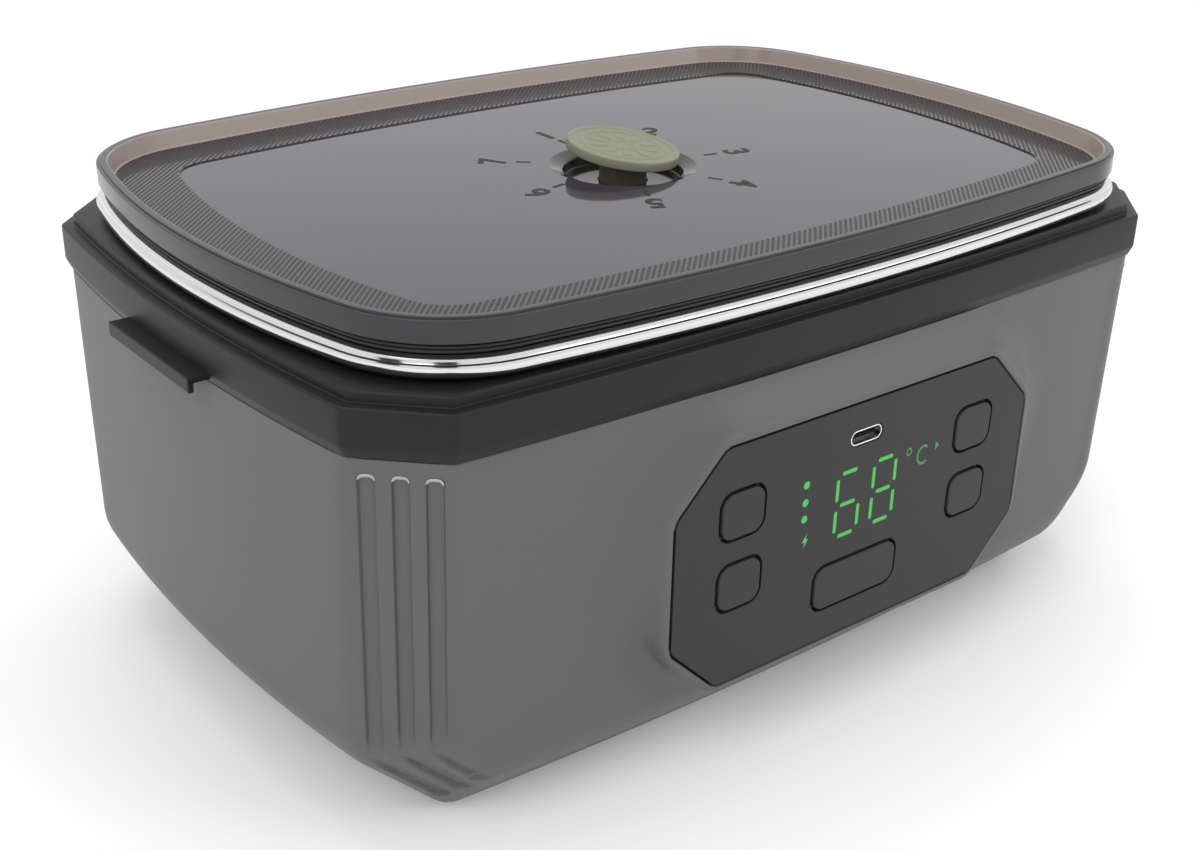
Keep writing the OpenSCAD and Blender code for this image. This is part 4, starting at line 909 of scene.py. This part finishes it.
def buildFascia():
    k = panelLook
    piece = cadCopy("control_fascia", "fasciaPlate", mats["fascia"], k["edge"], 3)
    bm = bmesh.new()
    bm.from_mesh(piece.data)
    corners = []
    for e in bm.edges:
        a, b = (v.co / unit for v in e.verts)
        away = abs(panelShape(a.x, a.z - size["panelZ"], 0, size["panelCut"], 0.001))
        if away < k["onRim"] and abs(a.x - b.x) < k["upright"] and abs(a.z - b.z) < k["upright"]:
            corners.append(e)
    bmesh.ops.bevel(bm, geom=corners, offset=k["cornerR"] * unit, segments=k["cornerSteps"], affect="EDGES",
                    profile=0.5)
    bm.to_mesh(piece.data)
    bm.free()
    # the openings round the buttons, drawn in to the width seen from the front
    for kx, kz, halfW, halfH in (keyPlace(node) for node, name in keyNodes):
        for v in piece.data.vertices:
            x, z = v.co.x / unit - kx, v.co.z / unit - kz
            if abs(x) < halfW + k["keyAround"] and abs(z) < halfH + k["keyAround"]:
                v.co.x -= unit * k["keyTrim"][0] * x / halfW
                v.co.z -= unit * k["keyTrim"][1] * z / halfH
    piece.data.shade_smooth()
    piece.data.set_sharp_from_angle(angle=math.radians(k["sharp"]))
    # a black sheet behind the fascia: painted shade in the gaps round the buttons
    w, h, y = k["backHalfW"], k["backHalfH"], k["backY"]
    verts = [(x, y, size["panelZ"] + z) for x, z in ((-w, -h), (w, -h), (w, h), (-w, h))]
    meshPiece("gapShade", verts, [(0, 1, 2, 3)], mats["dark"], "tub")


def buildKeys():
    k = panelLook
    for node, name in keyNodes:
        key = cadCopy(node, name, mats["button"], k["keyEdge"], 4)
        kx, kz, halfW, halfH = keyPlace(node)
        for i, mid, half, trim in ((0, kx, halfW, k["keyTrim"][0]), (2, kz, halfH, k["keyTrim"][1])):
            for v in key.data.vertices:
                v.co[i] = mid * unit + (v.co[i] - mid * unit) * (1 - (trim + k["keyGap"]) / half)
    cadCopy("port_shell", "portShell", mats["portMetal"], k["portEdge"], 2)
    cadCopy("port_tongue", "portTongue", mats["dark"], k["tongueEdge"], 2)


# the lit display, in the panel's plane: places are x and height
displayLook = dict(
    y=-79.23, digitZ=52.8, digitW=6.4, digitH=14.2, digits=((-4.1, "afgedc"), (6.3, "abcdefg")),
    barW=0.9, barGap=1.1, barTip=0.35, dotX=-16.3, dotZ=(60.4, 56.5, 52.8), dotR=0.85, dotSteps=16,
    bolt=(-15.6, 47.7),
    boltShape=((0.5, 1.7), (-0.9, -0.25), (-0.1, -0.25), (-0.5, -1.7), (0.9, 0.35), (0.1, 0.35)),
    # rings and arcs: middle, squeeze, outer and inner radius, from, sweep, steps
    degree=((13.4, 59.2), 0.8, 1.0, 0.6, 0, 360, 10), letter=((17.9, 57.3), 0.85, 2.3, 1.75, 50, 260, 12),
    arrow=((21.6, 59.3), (21.6, 57.2), (22.7, 58.3)),
)


def barShape(x0, z0, x1, z1):
    # one bar of a digit, with blunt tips
    w, tipShare = displayLook["barW"], displayLook["barTip"]
    d = Vector((x1 - x0, z1 - z0)).normalized()
    side = Vector((-d.y, d.x)) * w / 2
    tip = d * w * tipShare
    a, b = Vector((x0, z0)), Vector((x1, z1))
    return [a + side + tip, a + side * 0.5, a - side * 0.5, a - side + tip,
            b - side - tip, b - side * 0.5, b + side * 0.5, b + side - tip]


def digitShapes(cx, lit):
    k = displayLook
    w, h, cz, g = k["digitW"], k["digitH"], k["digitZ"], k["barGap"]
    x0, x1, zb, zm, zt = cx - w / 2, cx + w / 2, cz - h / 2, cz, cz + h / 2
    bars = dict(a=(x0 + g, zt, x1 - g, zt), g=(x0 + g, zm, x1 - g, zm), d=(x0 + g, zb, x1 - g, zb),
                f=(x0, zm + g, x0, zt - g), b=(x1, zm + g, x1, zt - g), e=(x0, zb + g, x0, zm - g),
                c=(x1, zb + g, x1, zm - g))
    return [barShape(*bars[name]) for name in lit]


def arcShapes(middle, squeeze, outer, inner, start, sweep, steps):
    out = []
    for i in range(steps):
        a, b = (math.radians(start + sweep * j / steps) for j in (i, i + 1))
        ring = [(outer, a), (outer, b), (inner, b), (inner, a)]
        out.append([Vector((middle[0] + r * math.cos(t) * squeeze, middle[1] + r * math.sin(t)))
                    for r, t in ring])
    return out


def buildDisplay():
    k = displayLook
    lit = [shape for cx, bars in k["digits"] for shape in digitShapes(cx, bars)]
    r, n = k["dotR"], k["dotSteps"]
    turns = [2 * math.pi * i / n for i in range(n)]
    for z in k["dotZ"]:
        lit.append([Vector((k["dotX"] + r * math.cos(a), z + r * math.sin(a))) for a in turns])
    lit.append([Vector(k["bolt"]) + Vector(p) for p in k["boltShape"]])
    dim = arcShapes(*k["degree"]) + arcShapes(*k["letter"]) + [[Vector(p) for p in k["arrow"]]]
    for name, shapes, look in (("displayGlyphs", lit, "light"), ("displaySigns", dim, "dimLight")):
        verts, faces = [], []
        for shape in shapes:
            base = len(verts)
            verts += [(p.x, k["y"], p.y) for p in shape]
            faces.append(tuple(base + i for i in range(len(shape))))
        meshPiece(name, verts, faces, mats[look], "tub")


buildFascia()
buildKeys()
buildDisplay()
print("panel made")


# base, screws and what is inside; the numbers are colours and the widths of softened edges
insideLook = dict(
    coverEdge=0.25, screwEdge=0.1,
    colors=dict(
        heating_film=(0.45, 0.2, 0.05), insulation_pad=(0.6, 0.6, 0.55), thermal_fuse=(0.6, 0.57, 0.5),
        key_switches=(0.1, 0.1, 0.1), display_module=(0.02, 0.02, 0.02), control_board=(0.02, 0.1, 0.05),
        battery_cells=(0.03, 0.08, 0.2), battery_holder=(0.03, 0.03, 0.03), power_board=(0.02, 0.1, 0.05),
        battery_leads=(0.3, 0.02, 0.02), heater_leads=(0.6, 0.6, 0.58),
    ),
)


def finishNode(node, material):
    frame["nodes"][node].data.materials.clear()
    frame["nodes"][node].data.materials.append(material)


def finishInside():
    k = insideLook
    cadCopy("base_cover", "baseCover", mats["band"], k["coverEdge"], 2)
    cadCopy("rubber_feet", "rubberFeet", mats["rubber"])
    for node in ("collar_screws", "base_screws", "board_screws", "holder_screws", "power_screws"):
        cadCopy(node, node + "Skin", mats["screw"], k["screwEdge"], 2)
    for node, color in k["colors"].items():
        finishNode(node, plainMaterial(node + "Look", color, grain=0.05))
    for node in ("thermostat", "cell_strips"):
        finishNode(node, mats["screw"])


finishInside()
print("inside finished")


# in metres: each light has a place, a width, a height and a power, and the dark cards show in the gloss only
studio = dict(
    floor=0.93, floorLift=0.1, floorHalf=6.0, ambient=0.8, aim=(0, 0, 0.05),
    lights=dict(keyLight=((-0.9, -0.5, 0.9), 0.8, 0.8, 4.5), fillLight=((0.7, -0.9, 0.6), 0.8, 0.6, 3.0),
                topLight=((0.1, 0.3, 1.2), 1.0, 0.8, 3.0)),
    cards=((-0.50, -0.62, 0.34), (-0.75, -0.2, 0.3)), cardW=0.22, cardH=0.3, cardAim=(0, 0, 0.1),
)


def aimAt(made, place, target):
    made.location = place
    made.rotation_euler = (Vector(target) - Vector(place)).to_track_quat("-Z", "Y").to_euler()


def stageSheet(name, w, h, material):
    mesh = bpy.data.meshes.new(name)
    mesh.from_pydata([(-w, -h, 0), (w, -h, 0), (w, h, 0), (-w, h, 0)], [], [(0, 1, 2, 3)])
    mesh.materials.append(material)
    sheet = addObject(name, mesh)
    return sheet


def buildStudio():
    k = studio
    paleFloor = plainMaterial("paleFloor", (k["floor"],) * 3, 0.6, spec=0.2, glow=(1, 1, 1),
                              glowPower=k["floorLift"])
    stageSheet("floor", k["floorHalf"], k["floorHalf"], paleFloor)
    for name, (place, w, h, power) in k["lights"].items():
        lamp = bpy.data.lights.new(name, "AREA")
        lamp.shape = "RECTANGLE"
        lamp.size, lamp.size_y = w, h
        lamp.energy = power
        aimAt(addObject(name, lamp), place, k["aim"])
    for i, place in enumerate(k["cards"]):
        card = stageSheet("card%d" % i, k["cardW"] / 2, k["cardH"] / 2, mats["dark"])
        aimAt(card, place, k["cardAim"])
        card.visible_camera = card.visible_diffuse = card.visible_shadow = False
        card.visible_transmission = False


def buildWorld():
    # plain white where the camera, gloss and glass look past the object, and a softer light elsewhere
    world = bpy.data.worlds.new("studio")
    bpy.context.scene.world = world
    world.use_nodes = True
    nt = world.node_tree
    nt.nodes.clear()
    out = nt.nodes.new("ShaderNodeOutputWorld")
    soft = nt.nodes.new("ShaderNodeBackground")
    soft.inputs["Color"].default_value = (1, 1, 1, 1)
    soft.inputs["Strength"].default_value = studio["ambient"]
    white = nt.nodes.new("ShaderNodeBackground")
    white.inputs["Color"].default_value = (1, 1, 1, 1)
    path = nt.nodes.new("ShaderNodeLightPath")
    mix = nt.nodes.new("ShaderNodeMixShader")
    peak = path.outputs["Is Camera Ray"]
    for name in ("Is Glossy Ray", "Is Transmission Ray"):
        more = nt.nodes.new("ShaderNodeMath")
        more.operation = "MAXIMUM"
        nt.links.new(peak, more.inputs[0])
        nt.links.new(path.outputs[name], more.inputs[1])
        peak = more.outputs[0]
    nt.links.new(peak, mix.inputs[0])
    nt.links.new(soft.outputs[0], mix.inputs[1])
    nt.links.new(white.outputs[0], mix.inputs[2])
    nt.links.new(mix.outputs[0], out.inputs["Surface"])


# angles in degrees, place in metres
cameraLook = dict(azimuth=39.33, elevation=25.45, roll=1.46, sensor=36, lens=49.31, nearest=0.01,
                  shift=(-0.01322, 0.00904), place=(-0.2272, -0.2772, 0.2066))


def buildCamera():
    k = cameraLook
    a, e, roll = (math.radians(k[name]) for name in ("azimuth", "elevation", "roll"))
    back = Vector((-math.sin(a) * math.cos(e), -math.cos(a) * math.cos(e), math.sin(e)))
    right = Vector((0, 0, 1)).cross(back).normalized()
    up = back.cross(right)
    x = right * math.cos(roll) + up * math.sin(roll)
    y = -right * math.sin(roll) + up * math.cos(roll)
    cam = bpy.data.cameras.new("camera")
    cam.sensor_width = k["sensor"]
    cam.lens = k["lens"]
    cam.shift_x, cam.shift_y = k["shift"]
    cam.clip_start = k["nearest"]
    o = addObject("camera", cam)
    place = Matrix((x, y, back)).transposed().to_4x4()
    place.translation = Vector(k["place"])
    o.matrix_world = place
    bpy.context.scene.camera = o


buildStudio()
buildWorld()
buildCamera()
bpy.context.scene.view_settings.view_transform = "Standard"
print("studio ready")
